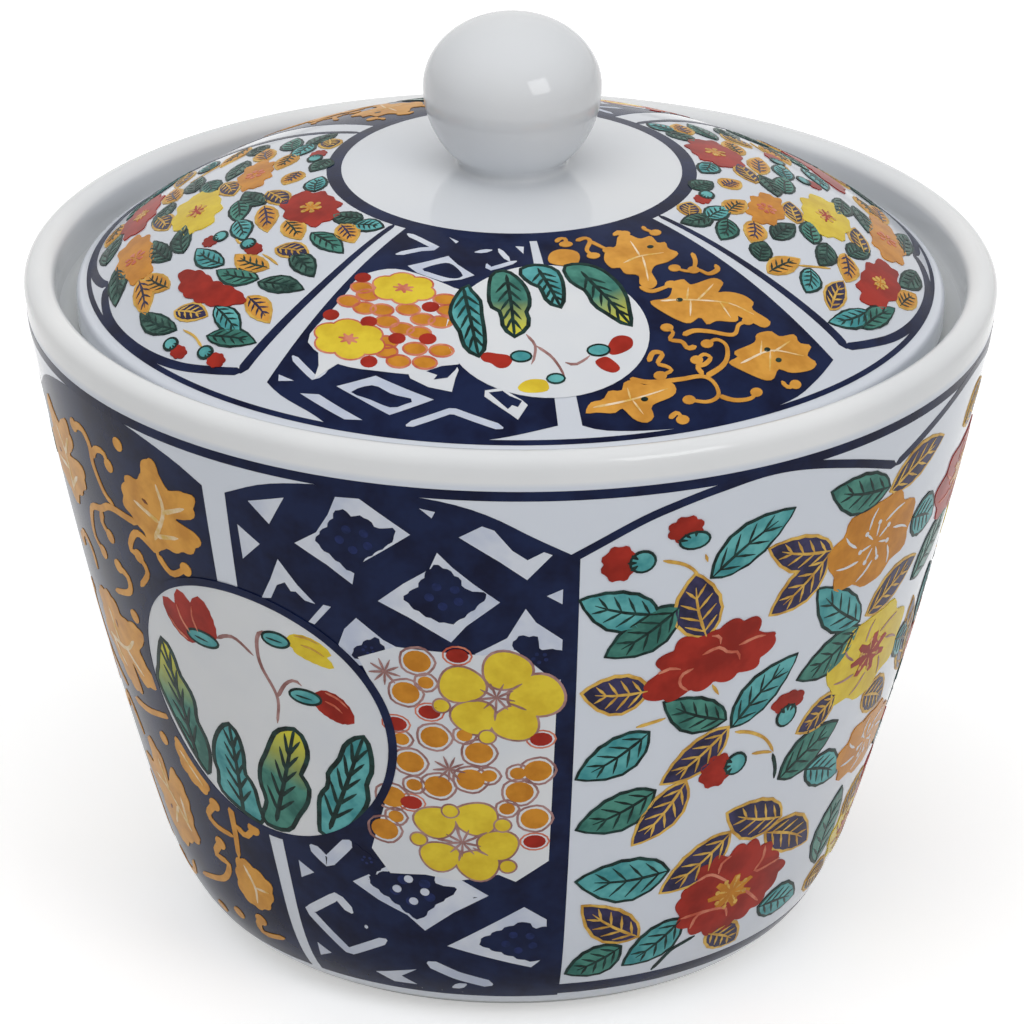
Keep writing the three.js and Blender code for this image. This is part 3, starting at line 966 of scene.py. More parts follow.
def wall_lattice(brush):
    """Broken lattice of white lozenges with blue hearts in the blue ground."""
    scale = brush.skin.scale_at(WALL_MIDDLE)
    for outline in LATTICE_WHITE:
        brush.fan("reserve", angular(outline, 1.3, scale), RESERVE)
    for outline, middle in LATTICE_CHEVRONS:
        brush.fan("reserve", angular(outline, 1.3, scale), RESERVE, middle=middle)
    for path, width in LATTICE_STROKES:
        brush.stroke("reserve", path, width, RESERVE, curved=False)
    for outline in LATTICE_BLUE:
        heart(brush, outline)
    for spot in LATTICE_DOTS:
        disc(brush, "reserve", spot, 0.5, LINE)


PLUM_GROUND = (
    (-19, 25), (-14, 23), (-3, 23.3), (1, 22.5), (6.4, 27), (6.4, 51.3), (1.6, 54.2), (-1, 53.2), (-7, 54.3),
    (-12, 53.8), (-17.5, 54.2), (-20, 51), (-17, 44), (-16.4, 36), (-17, 29),
)
PLUM_YELLOW = (
    ((-1.3, 28.8),
     ((-5.7, 27.3, 2.2), (0, 25.2, 2.3), (3.9, 28.6, 2.6), (1.2, 32.2, 2.2), (-4.2, 31.5, 2.1))),
    ((-6.2, 48.8),
     ((-10, 46.2, 2.0), (-4.2, 45.4, 2.1), (-1, 49, 1.9), (-4, 51.9, 2.0), (-9.6, 51, 1.9))),
)
PLUM_ORANGE = (
    (-11.3, 24.6), (-13, 28.9), (-9.5, 34.5), (-3.6, 36.3), (-13, 38.2), (4.3, 38.7), (-9.3, 41.2),
    (-4.8, 40), (1.9, 41.6), (4.1, 45.3), (-16, 43.3), (-17.6, 48),
)
PLUM_SMALL = (
    (-14, 35.2), (-10.3, 27.3), (-5.5, 34), (-15.7, 46), (-12.7, 41.3), (-2.3, 39.4), (1.6, 39), (0.2, 43.9),
)
PLUM_DABS = ((-8.4, 30.2), (-2.5, 34.1), (-7.8, 44.5), (-0.4, 46.2), (-12.6, 48.8), (0.4, 52))
PLUM_RED = ((-6.2, 23.5), (-10, 31.2), (-14.6, 33.2), (4.6, 34.4), (-13.3, 43.8), (4.2, 48.5))
PLUM_STARS = ((-7.7, 38.7), (-15.6, 26.4))
PLUM_MIDDLE = (-6.5, 38)
# A yellow petal and the mauve rim under it: paint, size across and along, and layer.
PLUM_COATS = (("yellow", 1.1, 1.04, FILL), ("mauve", 1.22, 1.16, FILL - 0.012))


def stamens(brush, centre, reach, count, line, dot=0.3):
    """Short lines out from a flower's middle, each with a dot at its end unless the dot has no size."""
    scale = brush.skin.scale_at(centre[1])
    for k in range(count):
        turn = 2 * math.pi * (k + 0.3) / count
        way = np.array([math.cos(turn), math.sin(turn)]) * reach / scale
        brush.stroke(line, [np.array(centre) + way * dot, np.array(centre) + way], 0.26, LINE)
        if dot:
            disc(brush, line, np.array(centre) + way, dot, LINE)


def wall_plum(brush):
    """White patch crowded with yellow, orange and red plum blossom."""
    scale = brush.skin.scale_at(WALL_MIDDLE)
    brush.fan("white", angular(PLUM_GROUND, 1.3, scale), WHITE, middle=PLUM_MIDDLE)
    for spots, radius in ((PLUM_ORANGE, 1.5), (PLUM_SMALL, 0.85)):
        for spot in spots:
            disc(brush, "orange", spot, (radius, 0.94 * radius), FILL - 0.01)
            ring = ring_spots(brush.skin, spot, radius + 0.4, radius + 0.36, 20, 5, 0.04)
            brush.stroke("mauve", ring, 0.27, FILL - 0.02, closed=True, curved=False, spacing=0.7)
    for spot in PLUM_RED:
        disc(brush, "red", spot, (1.2, 0.9), FILL - 0.005)
        ring = ring_spots(brush.skin, spot, 1.55, 1.2, 20)
        brush.stroke("blush", ring, 0.2, FILL - 0.02, closed=True, curved=False, spacing=0.7)
    for spot in PLUM_DABS:
        disc(brush, "yellow", spot, 0.95, FILL - 0.004, "mauve", 0.2)
    for centre, petals in PLUM_YELLOW:
        for across, down, radius in petals:
            for paint_name, wide, high, level in PLUM_COATS:
                size = (radius * wide, radius * high)
                edge = ring_spots(brush.skin, (across, down), *size, 26, 3, 0.05, across * 40)
                brush.fan(paint_name, edge, level)
        spots = np.array(petals)[:, :2]
        for gap in (spots + np.roll(spots, -1, 0)) / 2:
            brush.stroke("mauve", [gap, 0.4 * gap + 0.6 * np.array(centre)], 0.32, LINE, taper=0.3)
        stamens(brush, centre, 2.0, 9, "mauve", 0)
    for spot in PLUM_STARS:
        stamens(brush, spot, 1.75, 9, "mauve", 0)


ROUNDEL = (-36.2, 36.1)
ROUNDEL_REACH = (16.5, 16.3)
ROUNDEL_RING = 0.95
ROUNDEL_LEAVES = (
    ("tipped", (-50.5, 46), (-52.2, 30.8),
     ((-51, 31.2), (-50, 33), (-49.8, 34.7), (-48.3, 36.2), (-47.7, 38), (-48.3, 40.3), (-47.2, 42),
      (-47, 44.5), (-48, 46.5), (-49, 47.7), (-53, 43), (-56, 37.5), (-55, 35.5), (-54, 33.5))),
    ("turquoise", (-42.5, 51), (-41.3, 38.7),
     ((-40, 40), (-39.7, 42.5), (-40.2, 45), (-39, 46.5), (-38.8, 49), (-38.7, 51.5), (-43, 50.6),
      (-46.6, 48.8), (-46, 46.5), (-46.3, 45), (-45.5, 42.5), (-43.5, 40))),
    ("turquoise", (-26.5, 49.5), (-19.3, 35.6),
     ((-18.5, 38), (-18.7, 40.5), (-19.6, 42), (-19.7, 44.5), (-21.5, 47), (-24, 49.2), (-28, 50.6),
      (-27.8, 47.5), (-27.2, 45), (-25.6, 43.3), (-25.3, 41.5), (-23.3, 39.3), (-22, 37))),
    ("tipped", (-36, 50.5), (-29.7, 36.5),
     ((-28.5, 37.5), (-28.1, 39.5), (-29, 41.5), (-30, 42.8), (-28.8, 44), (-29.5, 46.5), (-31.5, 48.7),
      (-34, 51.3), (-38.8, 51), (-37, 48), (-37.5, 45.5), (-36.8, 43), (-35.3, 41), (-34, 39),
      (-32.5, 37.3))),
)
ROUNDEL_BUDS = (
    ("red",
     (((-43.8, 28.7), (-49.6, 24.6), 3.5), ((-43.2, 28.4), (-46.2, 22.6), 3.5),
      ((-41.8, 28.2), (-42.4, 22.4), 3.7)), (-43, 28), (2.3, 0.95)),
    ("yellow", (((-29, 24.5), (-22.6, 25.4), 2.3), ((-28.2, 25.2), (-22.4, 27), 2.0)), (-30.5, 24.9),
     (1.7, 0.95)),
    ("red", (((-26, 31), (-20.4, 34), 3.3), ((-25.6, 32), (-21.4, 34.2), 2.2)), (-27.2, 31.7),
     (1.9, 0.95)),
)
ROUNDEL_STEMS = (
    ((-40.3, 27.2), (-38.5, 26.4), (-36.8, 26.4), (-34.4, 27.9)),
    ((-31.5, 24.2), (-33, 24.7), (-33.6, 26.5), (-33.4, 29), (-31.6, 32.7), (-32.3, 36.3)),
    ((-31.6, 32.7), (-30, 30.6), (-28.5, 29.8), (-27.5, 30.3)),
)

# Line widths of a drawn leaf in mm; its veins, where they leave the rib and how far they run along it.
DRAWN_EDGE, DRAWN_RIB, DRAWN_VEIN = 0.55, 0.6, 0.5
DRAWN_VEINS, VEIN_START, VEIN_STEP, VEIN_RUN = 5, 0.12, 0.15, 0.19
# Reach of the lowest vein in mm, how much less each next one has, and the rib's bow in degrees.
VEIN_REACH, VEIN_LESS, RIB_BOW = 1.75, 0.2, 0.25


def drawn_leaf(brush, fill, base, tip, sides, size=1.0):
    """Broad leaf with wavy sides, a black outline, a midrib and slanting veins; size thins its lines."""
    scale = brush.skin.scale(np.array(sides))
    edge = smooth([tip, *sides], True, 1.0, scale)
    brush.fan(fill, edge, FILL, (base, tip))
    brush.stroke("ink", edge, DRAWN_EDGE * size, LINE, closed=True, curved=False, spacing=1.0)
    base, tip = np.array(base, float), np.array(tip, float)
    bow = base * 0.5 + tip * 0.5 + np.array([RIB_BOW, 0])
    brush.stroke("ink", [base, bow, tip], DRAWN_RIB * size, LINE, taper=0.4)
    step = (tip - base) * VEIN_RUN
    side = np.array([step[1] * scale[1], -step[0] * scale[0]]) / np.linalg.norm(step * scale) / scale
    for k in range(DRAWN_VEINS):
        root = base + (tip - base) * (VEIN_START + VEIN_STEP * k)
        for hand in (1, -1):
            end = root + step + hand * side * (VEIN_REACH - VEIN_LESS * k) * size
            brush.stroke("ink", [root, end], DRAWN_VEIN * size, LINE - 0.005, taper=0.4)


def wall_roundel(brush):
    """White roundel with four leaves standing in it and sprays of buds over them."""
    skin = brush.skin
    edge = ring_spots(skin, ROUNDEL, *ROUNDEL_REACH, 84)
    brush.fan("white", edge, UNDER)
    brush.lines("mauve", ROUNDEL_STEMS, 0.5, FILL, taper=0.3)
    for fill, base, tip, sides in ROUNDEL_LEAVES:
        drawn_leaf(brush, fill, base, tip, sides)
    for fill, petals, calyx, reach in ROUNDEL_BUDS:
        for base, tip, width in petals:
            petal, spine, half = leaf_edge(skin, base, tip, width, *BUD_PETAL)
            brush.fan(fill, petal, FILL)
            line = "blush" if fill == "red" else "gold_line"
            brush.stroke(line, spine[2:-2:3] + half[2:-2:3] * 0.8, 0.3, LINE, taper=0.4)
        disc(brush, "turquoise", calyx, reach, OVER, "ink", 0.3)
        ends = [np.array(calyx) - (1.4, 0), np.array(calyx) + (1.0, 0.2)]
        brush.stroke("ink", ends, 0.3, LINE, taper=0.5)
    brush.stroke("cobalt", edge, ROUNDEL_RING, LINE + 0.006, closed=True, curved=False, spacing=1.0)


GOLD_LEAF = (
    (-49, 18.8), (-51.5, 16.5), (-54, 14.8), (-54, 13), (-53, 11), (-51.5, 10.2), (-49.7, 10), (-48.8, 8),
    (-47.5, 6.6), (-46, 7), (-44.7, 9.5), (-40.5, 9.1), (-40.3, 11), (-41.3, 12.5), (-44, 13.2),
    (-40.3, 14.3), (-41.2, 16.3), (-43.5, 17.3), (-47.5, 18),
)
GOLD_VEINS = (
    ((-48.7, 17.2), (-46, 13), (-46.5, 9.6)), ((-46, 13), (-42, 11.3)), ((-48.3, 16.6), (-44, 15.6)),
    ((-47, 14.6), (-51.6, 13.2)),
)
# The gold leaf's middle, and a dash on it in mm from there.
GOLD_HEART = (-47, 13.4)
GOLD_DASH = ((-2.2, -1.0), (-1.4, -0.6))
# Copies of the leaf: middle, size and turn in degrees.
GOLD_LEAVES = (
    (GOLD_HEART, 1.0, 0), ((-71.5, 15), 1.0, -25), ((-66, 36), 1.12, 60), ((-64.5, 56), 1.15, -70),
)
GOLD_SMALL = (
    ((-56.3, 45.5), (-54.5, 45.2), (-50.3, 48.5), (-50, 50.5), (-52, 51), (-55.8, 49)),
    ((-46.5, 58.3), (-43, 59.2), (-40.4, 61), (-42.2, 64.3), (-45.8, 65.2), (-49, 63.7), (-48.3, 60)),
)
GOLD_SMALL_VEINS = (
    ((-55.3, 46.5), (-51.2, 50)), ((-46, 59.2), (-44.6, 62), (-45.2, 64.4)), ((-44.6, 62), (-41.5, 62)),
)
GOLD_BEADS = (
    (-53, 6.8), (-64.5, 8.5), (-56.2, 10.5), (-64, 24), (-60.2, 20.7), (-53.3, 20.8), (-43.7, 19.4),
    (-59.8, 24.3), (-58.5, 30.2), (-60, 46.5), (-49.5, 52), (-41.3, 53), (-51, 57.7), (-46.2, 67.2),
    (-53, 68.2), (-74, 26), (-77.5, 33), (-76, 47), (-73, 66), (-60, 69.5), (-79, 58),
)
GOLD_SCROLLS = (
    ((-64.5, 8.5), (-62, 8), (-60.5, 9.5), (-60.5, 12), (-59, 14.8), (-57, 15.7)),
    ((-60.3, 11), (-59, 9.5), (-57, 9.2), (-56.2, 10.5)),
    ((-52, 16.3), (-58, 16.3), (-61, 17.5), (-64.5, 18.7), (-66, 22.5), (-64, 24)),
    ((-61, 17.8), (-61.8, 19.5), (-60.2, 20.7)),
    ((-48.5, 18.9), (-52.5, 17.6), (-55, 20.3), (-53.3, 20.8), (-52, 22.5), (-54.5, 25)),
    ((-49, 19), (-46.7, 20.8), (-43.7, 19.4)),
    ((-59.8, 24.3), (-57.6, 25), (-58.2, 27), (-63, 28.5)),
    ((-68, 44), (-63, 43.8), (-56, 42.4)),
    ((-49.5, 52), (-52, 54), (-50.5, 55.2), (-46.5, 55.5)),
    ((-45.5, 51), (-46, 55), (-46.8, 58.5)),
    ((-45.3, 53.5), (-43.5, 54.5), (-41.3, 53)),
    ((-51, 57.7), (-53.3, 59.8), (-50.3, 60.5), (-53.5, 63.3), (-62, 65.3)),
    ((-46.2, 67.2), (-47.7, 68.5), (-47, 69.7), (-41.5, 68.8)),
    ((-74, 26), (-72, 24.5), (-69.5, 25.5), (-69, 28)),
    ((-77.5, 33), (-79.5, 36), (-78, 40), (-74.5, 42), (-71, 43.5)),
    ((-76, 47), (-74, 45.5), (-72, 46.5), (-70, 49.5)),
    ((-73, 66), (-71, 67.5), (-67.5, 66.8), (-65, 64.5)),
    ((-79, 58), (-77.5, 62), (-79.5, 66)),
)


def wall_gold(brush):
    """Gold leaves and curling tendrils on the blue ground."""
    scale = brush.skin.scale_at(WALL_MIDDLE)
    brush.lines("gold", GOLD_SCROLLS, 0.95, UNDER, taper=0.3)
    for spot in GOLD_BEADS:
        disc(brush, "gold", spot, 0.85, UNDER)
    origin = np.array(GOLD_HEART)
    for centre, size, turn in GOLD_LEAVES:
        cos, sin = math.cos(math.radians(turn)), math.sin(math.radians(turn))
        spin = np.array([[cos, sin], [-sin, cos]]) * size
        edge = np.array(centre) + ((np.array(GOLD_LEAF) - origin) * scale) @ spin / scale
        brush.fan("gold", scallop(smooth(edge, True, 0.45, scale), scale, 0.42, 2.3), UNDER, middle=centre)
        for vein in GOLD_VEINS:
            path = np.array(centre) + ((np.array(vein) - origin) * scale) @ spin / scale
            brush.stroke("straw", path, 0.62, FILL, taper=0.3)
        dash = np.array(GOLD_DASH) @ spin / scale
        brush.stroke("brown", np.array(centre) + dash, 0.6, FILL, taper=0.3)
    for outline in GOLD_SMALL:
        brush.fan("gold", scallop(smooth(outline, True, 0.45, scale), scale, 0.35, 2.2), UNDER)
    brush.lines("straw", GOLD_SMALL_VEINS, 0.4, FILL, taper=0.3)


# Leaves have base, tip and width; buds middle, reach, cup and its reach; flowers a line and a star paint.
TURQUOISE_LEAVES = (
    ((18.5, 19), (8.9, 16.4), 4.6), ((25.3, 15.2), (35.5, 8.9), 4.5), ((52.2, 27.8), (42.2, 20.8), 4.4),
    ((19, 34.8), (9.8, 40), 4.5), ((31.8, 36), (40.5, 28.8), 4.3), ((25.3, 54.7), (11, 54.6), 5.5),
    ((29.5, 62.5), (20.8, 67.9), 4.3), ((49, 46.3), (58, 49.5), 4), ((47.3, 64.8), (58, 66.3), 4),
    ((60.5, 17.5), (67, 19.5), 4.5), ((66.5, 35), (74, 38), 4), ((84, 31), (94, 28), 4.4),
    ((80, 45), (89, 42), 4.4), ((78, 64), (88, 67.5), 4.2), ((76, 29), (78, 37), 4.2),
)
GREEN_LEAVES = (
    ((21.3, 18.5), (12.5, 23.8), 4.4), ((52, 10.8), (41.4, 8.3), 4.5), ((52.5, 28.7), (42, 32.3), 4.5),
    ((30.3, 34.8), (21, 31), 4), ((21, 43), (10.4, 47.1), 4.5), ((19.2, 65), (10.8, 68.3), 4),
    ((43, 45.7), (53.5, 41.4), 4.8), ((62.5, 63), (63, 53.3), 5), ((66, 27), (76, 22), 4.5),
    ((88, 15), (97, 18.5), 4.4), ((82, 47), (92, 51), 4.4), ((88, 62), (96, 58), 4.4),
    ((90, 35), (97, 39), 4.0),
)
NAVY_LEAVES = (
    ((25.5, 22.9), (23, 14.7), 5), ((18.3, 29), (9.8, 28.6), 4.7), ((43, 16), (33, 13.3), 4),
    ((42.5, 16.5), (34.8, 22), 4.3), ((31, 36.2), (22.2, 42), 4), ((25.7, 42.5), (19, 50), 4),
    ((45.5, 51.7), (34.3, 48.5), 4.8), ((35.3, 51.5), (25, 57.7), 4.5), ((43.3, 53.3), (55.3, 57.8), 4.3),
    ((22, 63.6), (12.3, 58.3), 4), ((36.3, 66), (44, 69), 3.5), ((52.8, 11.5), (64, 8.7), 4),
    ((54, 27.5), (64.5, 23.7), 4), ((51, 37), (44.5, 40), 3.5), ((60, 40), (68, 43), 4),
    ((62, 65.5), (69.5, 66.5), 3.8), ((69, 59), (74, 54.5), 3.8), ((73, 10.5), (80, 7.8), 3.8),
    ((84, 23), (95, 22), 4.2), ((76, 42), (70, 31), 4.0), ((86, 56), (95, 48), 4.2),
    ((80, 69), (90, 69.5), 3.4), ((88, 12), (95, 12.5), 3.4),
)
WALL_LEAVES = (
    ("navy", "gold_line", NAVY_LEAVES),
    ("turquoise", "ink", TURQUOISE_LEAVES),
    ("green", "ink", GREEN_LEAVES),
)
CAMELLIA_BUDS = (
    ((13.2, 12), (1.9, 2.2), (16.6, 12), (1.5, 1.4)), ((21.1, 8.6), (2.0, 1.6), (22.6, 10.4), (1.9, 1.1)),
    ((41, 35), (2.3, 1.3), (41.2, 37.2), (1.4, 1.5)), ((30.5, 41.8), (2.0, 2.2), (34.2, 41.4), (1.4, 1.5)),
    ((79, 50.5), (1.9, 2.0), (76, 50.5), (1.4, 1.4)), ((92, 32.5), (1.8, 2.0), (89.4, 32), (1.4, 1.4)),
    ((92, 64.5), (1.9, 1.8), (90, 66.3), (1.4, 1.2)),
)
CAMELLIA_STEMS = (
    ((18.6, 12.2), (21, 12.9), (22.5, 13.8), (23.5, 14.9)), ((24, 12.2), (24.4, 13.2)),
    ((17.3, 33.8), (21.3, 33.1)), ((27.5, 29.7), (28.7, 31.2)),
    ((32.5, 37), (35, 37.6), (37.5, 38.8), (39, 40), (40.3, 41.5)),
    ((36.3, 40.8), (38.5, 41.1), (40, 41.5)), ((74, 50.8), (71, 50), (68.5, 50.4)),
    ((88, 32), (85.5, 30.5), (82, 29)),
)
DARK_STEMS = (((40.3, 41.8), (41.5, 44), (41.8, 45.5)), ((26.6, 70), (29, 67.3), (30.5, 66.6), (33.5, 65.7)))
RED_FLOWER = (
    (17.3, 29), (19.3, 27), (19.3, 25.5), (21.5, 23.5), (23.5, 22.5), (25.5, 23), (27.3, 22),
    (29.5, 21.7), (32, 21.8), (33.5, 23), (34.2, 24.4), (36.5, 24.8), (35.8, 26.2), (34, 28.3),
    (31.5, 29), (27, 29.7), (24.5, 30), (21, 30.8), (19, 30.2),
)
RED_FLOWER_LINES = (
    ((26.3, 23), (27.5, 23.3), (27.7, 24.3)),
    ((25.3, 25.3), (27.5, 24.7), (29, 25.6), (30.5, 25.9), (31, 27)),
    ((30.5, 25), (33, 24.5), (34.5, 24.6)), ((19.5, 26.9), (21, 26.4), (22.5, 26.7)),
    ((24.3, 26.9), (22.8, 27.5), (22.7, 28.8), (24, 29.8)),
)
RED_ROSE = (
    (28.3, 59.3), (30.5, 57.5), (31.5, 55.5), (34, 54.5), (36, 54.7), (38, 54), (40.5, 53.7),
    (42.5, 54.6), (45, 55.3), (47, 57), (48.3, 58), (50.5, 59.8), (49.3, 61), (48, 63), (46, 64.3),
    (43.5, 65), (40, 65.8), (37, 66), (34, 65.5), (31.5, 64.5), (29, 63), (28.8, 61.3),
)
RED_ROSE_HEART = (38.7, 60.4)
RED_ROSE_LINES = (
    ((31, 57.3), (33.5, 56.8), (37.5, 58.7)), ((35, 57), (35.2, 55.6), (36.8, 54.9)),
    ((29.5, 62.3), (34.5, 62)), ((31.8, 64.2), (33, 62.3), (38, 62.5), (39.2, 64)),
    ((43.8, 55.2), (44, 57), (43, 58.6), (48.5, 58.2)), ((42, 61), (46, 63.5)),
)
ROUND_FLOWERS = (
    ("orange", (51.5, 17.5), (7.6, 5.5), "white", None), ("orange", (66.5, 48), (6.9, 4.0), "white", None),
    ("yellow", (57.5, 33.7), (7.8, 5.8), "mauve", "red"), ("red", (78, 17.6), (9.6, 4.6), "blush", "orange"),
    ("yellow", (88, 25.5), (4.2, 3.4), "mauve", "red"), ("red", (83, 38.5), (5.6, 3.8), "blush", "orange"),
    ("orange", (92.5, 44.5), (4.2, 3.6), "white", None), ("red", (82.5, 58), (6.0, 4.6), "blush", "orange"),
    ("yellow", (73, 61.5), (4.4, 3.4), "mauve", "red"),
)


# A star's rays, its middle radius as a share of its reach, the depth of its rays and its turn in degrees.
STAR_RAYS, STAR_SHARE, STAR_DEPTH, STAR_TURN = 7, 0.72, 0.38, 20


def star(brush, paint_name, centre, reach, level):
    """Ragged star of paint in a flower's middle."""
    size = (reach[0] * STAR_SHARE, reach[1] * STAR_SHARE)
    edge = ring_spots(brush.skin, centre, *size, 4 * STAR_RAYS, STAR_RAYS, STAR_DEPTH, STAR_TURN)
    brush.fan(paint_name, edge, level)


# A round flower's edge: points, petals, its middle radius as a share of its reach, depth and turn.
FLOWER_STEPS, FLOWER_PETALS, FLOWER_SHARE, FLOWER_DEPTH, FLOWER_TURN = 48, 7, 0.93, 0.075, 30
# Ripple added to that edge: its radius in mm, waves and depth.
RIPPLE_REACH, RIPPLE_WAVES, RIPPLE_DEPTH = 0.25, 11, 0.9


def round_flower(brush, fill, centre, reach, line, star_paint, lines=7, star_share=0.5):
    """Open flower: overlapping round petals, lines drawn on them and stamens or a star in the middle."""
    size = (reach[0] * FLOWER_SHARE, reach[1] * FLOWER_SHARE)
    edge = ring_spots(brush.skin, centre, *size, FLOWER_STEPS, FLOWER_PETALS, FLOWER_DEPTH, FLOWER_TURN)
    start = (0, centre[1])
    ripple_size = (RIPPLE_REACH, RIPPLE_REACH)
    ripple = ring_spots(brush.skin, start, *ripple_size, FLOWER_STEPS, RIPPLE_WAVES, RIPPLE_DEPTH)
    edge = edge + (ripple - np.array(start))
    brush.fan(fill, edge, FILL)
    scale = brush.skin.scale_at(centre[1])
    for k in range(lines):
        turn = 2 * math.pi * (k + 0.5) / lines + 0.4
        way = np.array([math.cos(turn) * reach[0], math.sin(turn) * reach[1]]) / scale
        side = np.array([-math.sin(turn) * reach[0], math.cos(turn) * reach[1]]) / scale
        middle = np.array(centre)
        path = [middle + 0.42 * way - 0.1 * side, middle + 0.66 * way, middle + 0.82 * way + 0.13 * side]
        brush.stroke(line, path, 0.36, LINE, taper=0.4)
    if star_paint:
        star(brush, star_paint, centre, (reach[0] * star_share, reach[1] * star_share), LINE)
        stamens(brush, centre, min(reach) * 0.34, 6, "gold_line")
    else:
        stamens(brush, centre, min(reach) * 0.45, 7, line)


def bud_and_calyx(brush, bud, reach, calyx, calyx_reach):
    """Ragged red bud held in a small turquoise cup with black points."""
    scale = brush.skin.scale(np.array([bud, calyx]))
    ragged = scallop(ring_spots(brush.skin, bud, *reach, 30), scale, 0.22 * min(reach), 0.75 * max(reach))
    brush.fan("red", ragged, FILL)
    bud, calyx = np.array(bud, float), np.array(calyx, float)
    cup = calyx + 0.16 * (bud - calyx)
    size = 0.82 * np.array(calyx_reach)
    brush.fan("ink", ring_spots(brush.skin, cup, *(size + 0.3), 16), OVER)
    brush.fan("turquoise", ring_spots(brush.skin, cup, *size, 16), OVER + 0.01)
    way = (bud - calyx) * scale
    way /= np.linalg.norm(way)
    side = np.array([-way[1], way[0]])
    for lean in (-0.8, 0, 0.8):
        point = size * (way + lean * side) / math.hypot(1, lean)
        ends = [cup + 0.55 * point / scale, cup + 1.35 * point / scale]
        brush.stroke("ink", ends, 0.5 * size[1], LINE, taper=0.3)


def wall_camellias(brush):
    """Panel of camellias, round flowers, buds and leaves on white."""
    scale = brush.skin.scale_at(WALL_MIDDLE)
    brush.lines("gold_line", CAMELLIA_STEMS, 0.42, WHITE, taper=0.2)
    brush.lines("ink", DARK_STEMS, 0.5, WHITE, taper=0.2)
    for fill, line, leaves in WALL_LEAVES:
        for base, tip, width in leaves:
            leaf(brush, fill, line, base, tip, width)
    for outline, lines in ((RED_FLOWER, RED_FLOWER_LINES), (RED_ROSE, RED_ROSE_LINES)):
        brush.fan("red", scallop(smooth(outline, True, 0.3, scale), scale, 0.8, 3.0), FILL + 0.01)
        brush.lines("blush", lines, 0.42, LINE, taper=0.3)
    star(brush, "orange", RED_ROSE_HEART, (3.4, 2.6), LINE)
    stamens(brush, RED_ROSE_HEART, 2.0, 8, "gold_line")
    for fill, centre, reach, line, star_paint in ROUND_FLOWERS:
        round_flower(brush, fill, centre, reach, line, star_paint)
    for bud, reach, calyx, calyx_reach in CAMELLIA_BUDS:
        bud_and_calyx(brush, bud, reach, calyx, calyx_reach)


LID_SIDE_LINES = (
    ((-38.5, 19.8), (-38.8, 30), (-40.7, 40), (-41.1, 43)),
    ((-123.5, 19.8), (-121.9, 30), (-119.8, 40), (-119.7, 43)),
)
LID_LOBES = (
    ((-41, 42.8), (-46, 43.7), (-52, 44.6), (-60, 45.1), (-70, 45.1), (-77, 44.5), (-80.5, 43.8)),
    ((-80.5, 43.8), (-84, 44.5), (-91, 45.1), (-101, 45.1), (-109, 44.6), (-115, 43.7), (-119.8, 42.8)),
)
LID_WHITE = (
    ((-19, 20), (-15.5, 20.6), (-16, 21)),
    ((-24.6, 26), (-16.3, 23.4), (-13, 24.7), (-8.3, 26.2), (-11, 27), (-15, 27.6), (-21.5, 26.8)),
    ((1.3, 20.9), (3.7, 21), (3.4, 22.3)),
    ((-25.5, 41.8), (-20.3, 40.1), (-10.8, 41.8), (-16.5, 43.7), (-21, 42.7)),
    ((-35, 42), (-32.2, 42.2), (-34.5, 42.6)),
    ((-30.3, 43.2), (-27.5, 42.9), (-20, 44.5), (-22.5, 44.7)),
)
LID_BLUE = (
    ((-20.8, 26.1), (-15.5, 24.6), (-11, 26.3), (-13, 27), (-18.5, 26.5)),
    ((-23, 42.1), (-20.2, 41.1), (-17, 41.7), (-13.6, 42), (-15, 42.6), (-16.6, 43), (-20, 42.5)),
)
LID_STROKES = (
    (((-31.8, 20.8), (-27, 21.3), (-20.2, 22.3), (-24.5, 23), (-29.5, 24.6)), 0.7),
    (((-9.8, 22.3), (-5.2, 21.7)), 0.6), (((-3.5, 21.4), (-0.3, 23.6)), 0.6),
    (((1.5, 23.6), (-5.2, 25.1), (-6, 24.2)), 0.6), (((-13.9, 44.5), (-8, 42.7), (-0.8, 44.2)), 0.75),
    (((-34.7, 39.9), (-29.3, 41.5), (-28, 40.2)), 0.7),
)
LID_NOTCHES = (
    ((-31, 38.8), (-26.5, 39.3), (-28.2, 40.6), (-29.3, 41.6), (-29.7, 40.2)),
    ((-16, 39), (-9, 37.4), (-7.9, 38.6), (-8.2, 39.5), (-8.4, 40.9), (-12, 40.6), (-15, 39.9)),
    ((-3.6, 40.6), (-1.2, 40.3), (1.8, 41.5), (2.6, 42), (1.2, 43.4), (0.2, 42.9), (-1.4, 42.2),
     (-3.6, 41.2)),
)
LID_FRAGMENTS = (
    ((-12.8, 39), (-10.6, 38.3), (-8, 38), (-8.4, 38.6), (-9.4, 39.5), (-11.4, 39.8), (-11, 39.3)),
    ((-3, 40.8), (-1, 40.6), (0, 41.1), (1.8, 41.6), (1.2, 42.2), (0.4, 42), (-0.2, 42.4), (-1.4, 41.7)),
)
LID_PLUM_GROUND = (
    (-33, 29), (-28, 27), (-21, 27), (-12.5, 28.3), (-8, 30), (-8, 38), (-12.3, 39.3), (-20, 39.6),
    (-27, 39.6), (-33.5, 38.2), (-34, 36.5), (-33.3, 34), (-33, 31.5),
)
LID_YELLOW = (((-22.4, 29.4), (3.5, 2.1)), ((-27.2, 36.8), (4.1, 2.3)))
LID_ORANGE = (
    (-30.8, 30.4), (-31.4, 32.5), (-19.4, 32.1), (-24.2, 32.7), (-16, 33.1), (-22.2, 34), (-19, 34.6),
    (-13, 30.2), (-11.6, 31.6), (-15.6, 36.7), (-17.6, 38.3), (-11.2, 36.6), (-13.4, 38.1), (-27.6, 32.9),
    (-15.8, 34.8), (-20.2, 37.4), (-28.6, 31.2), (-12.6, 33.2), (-20.8, 36.4),
)
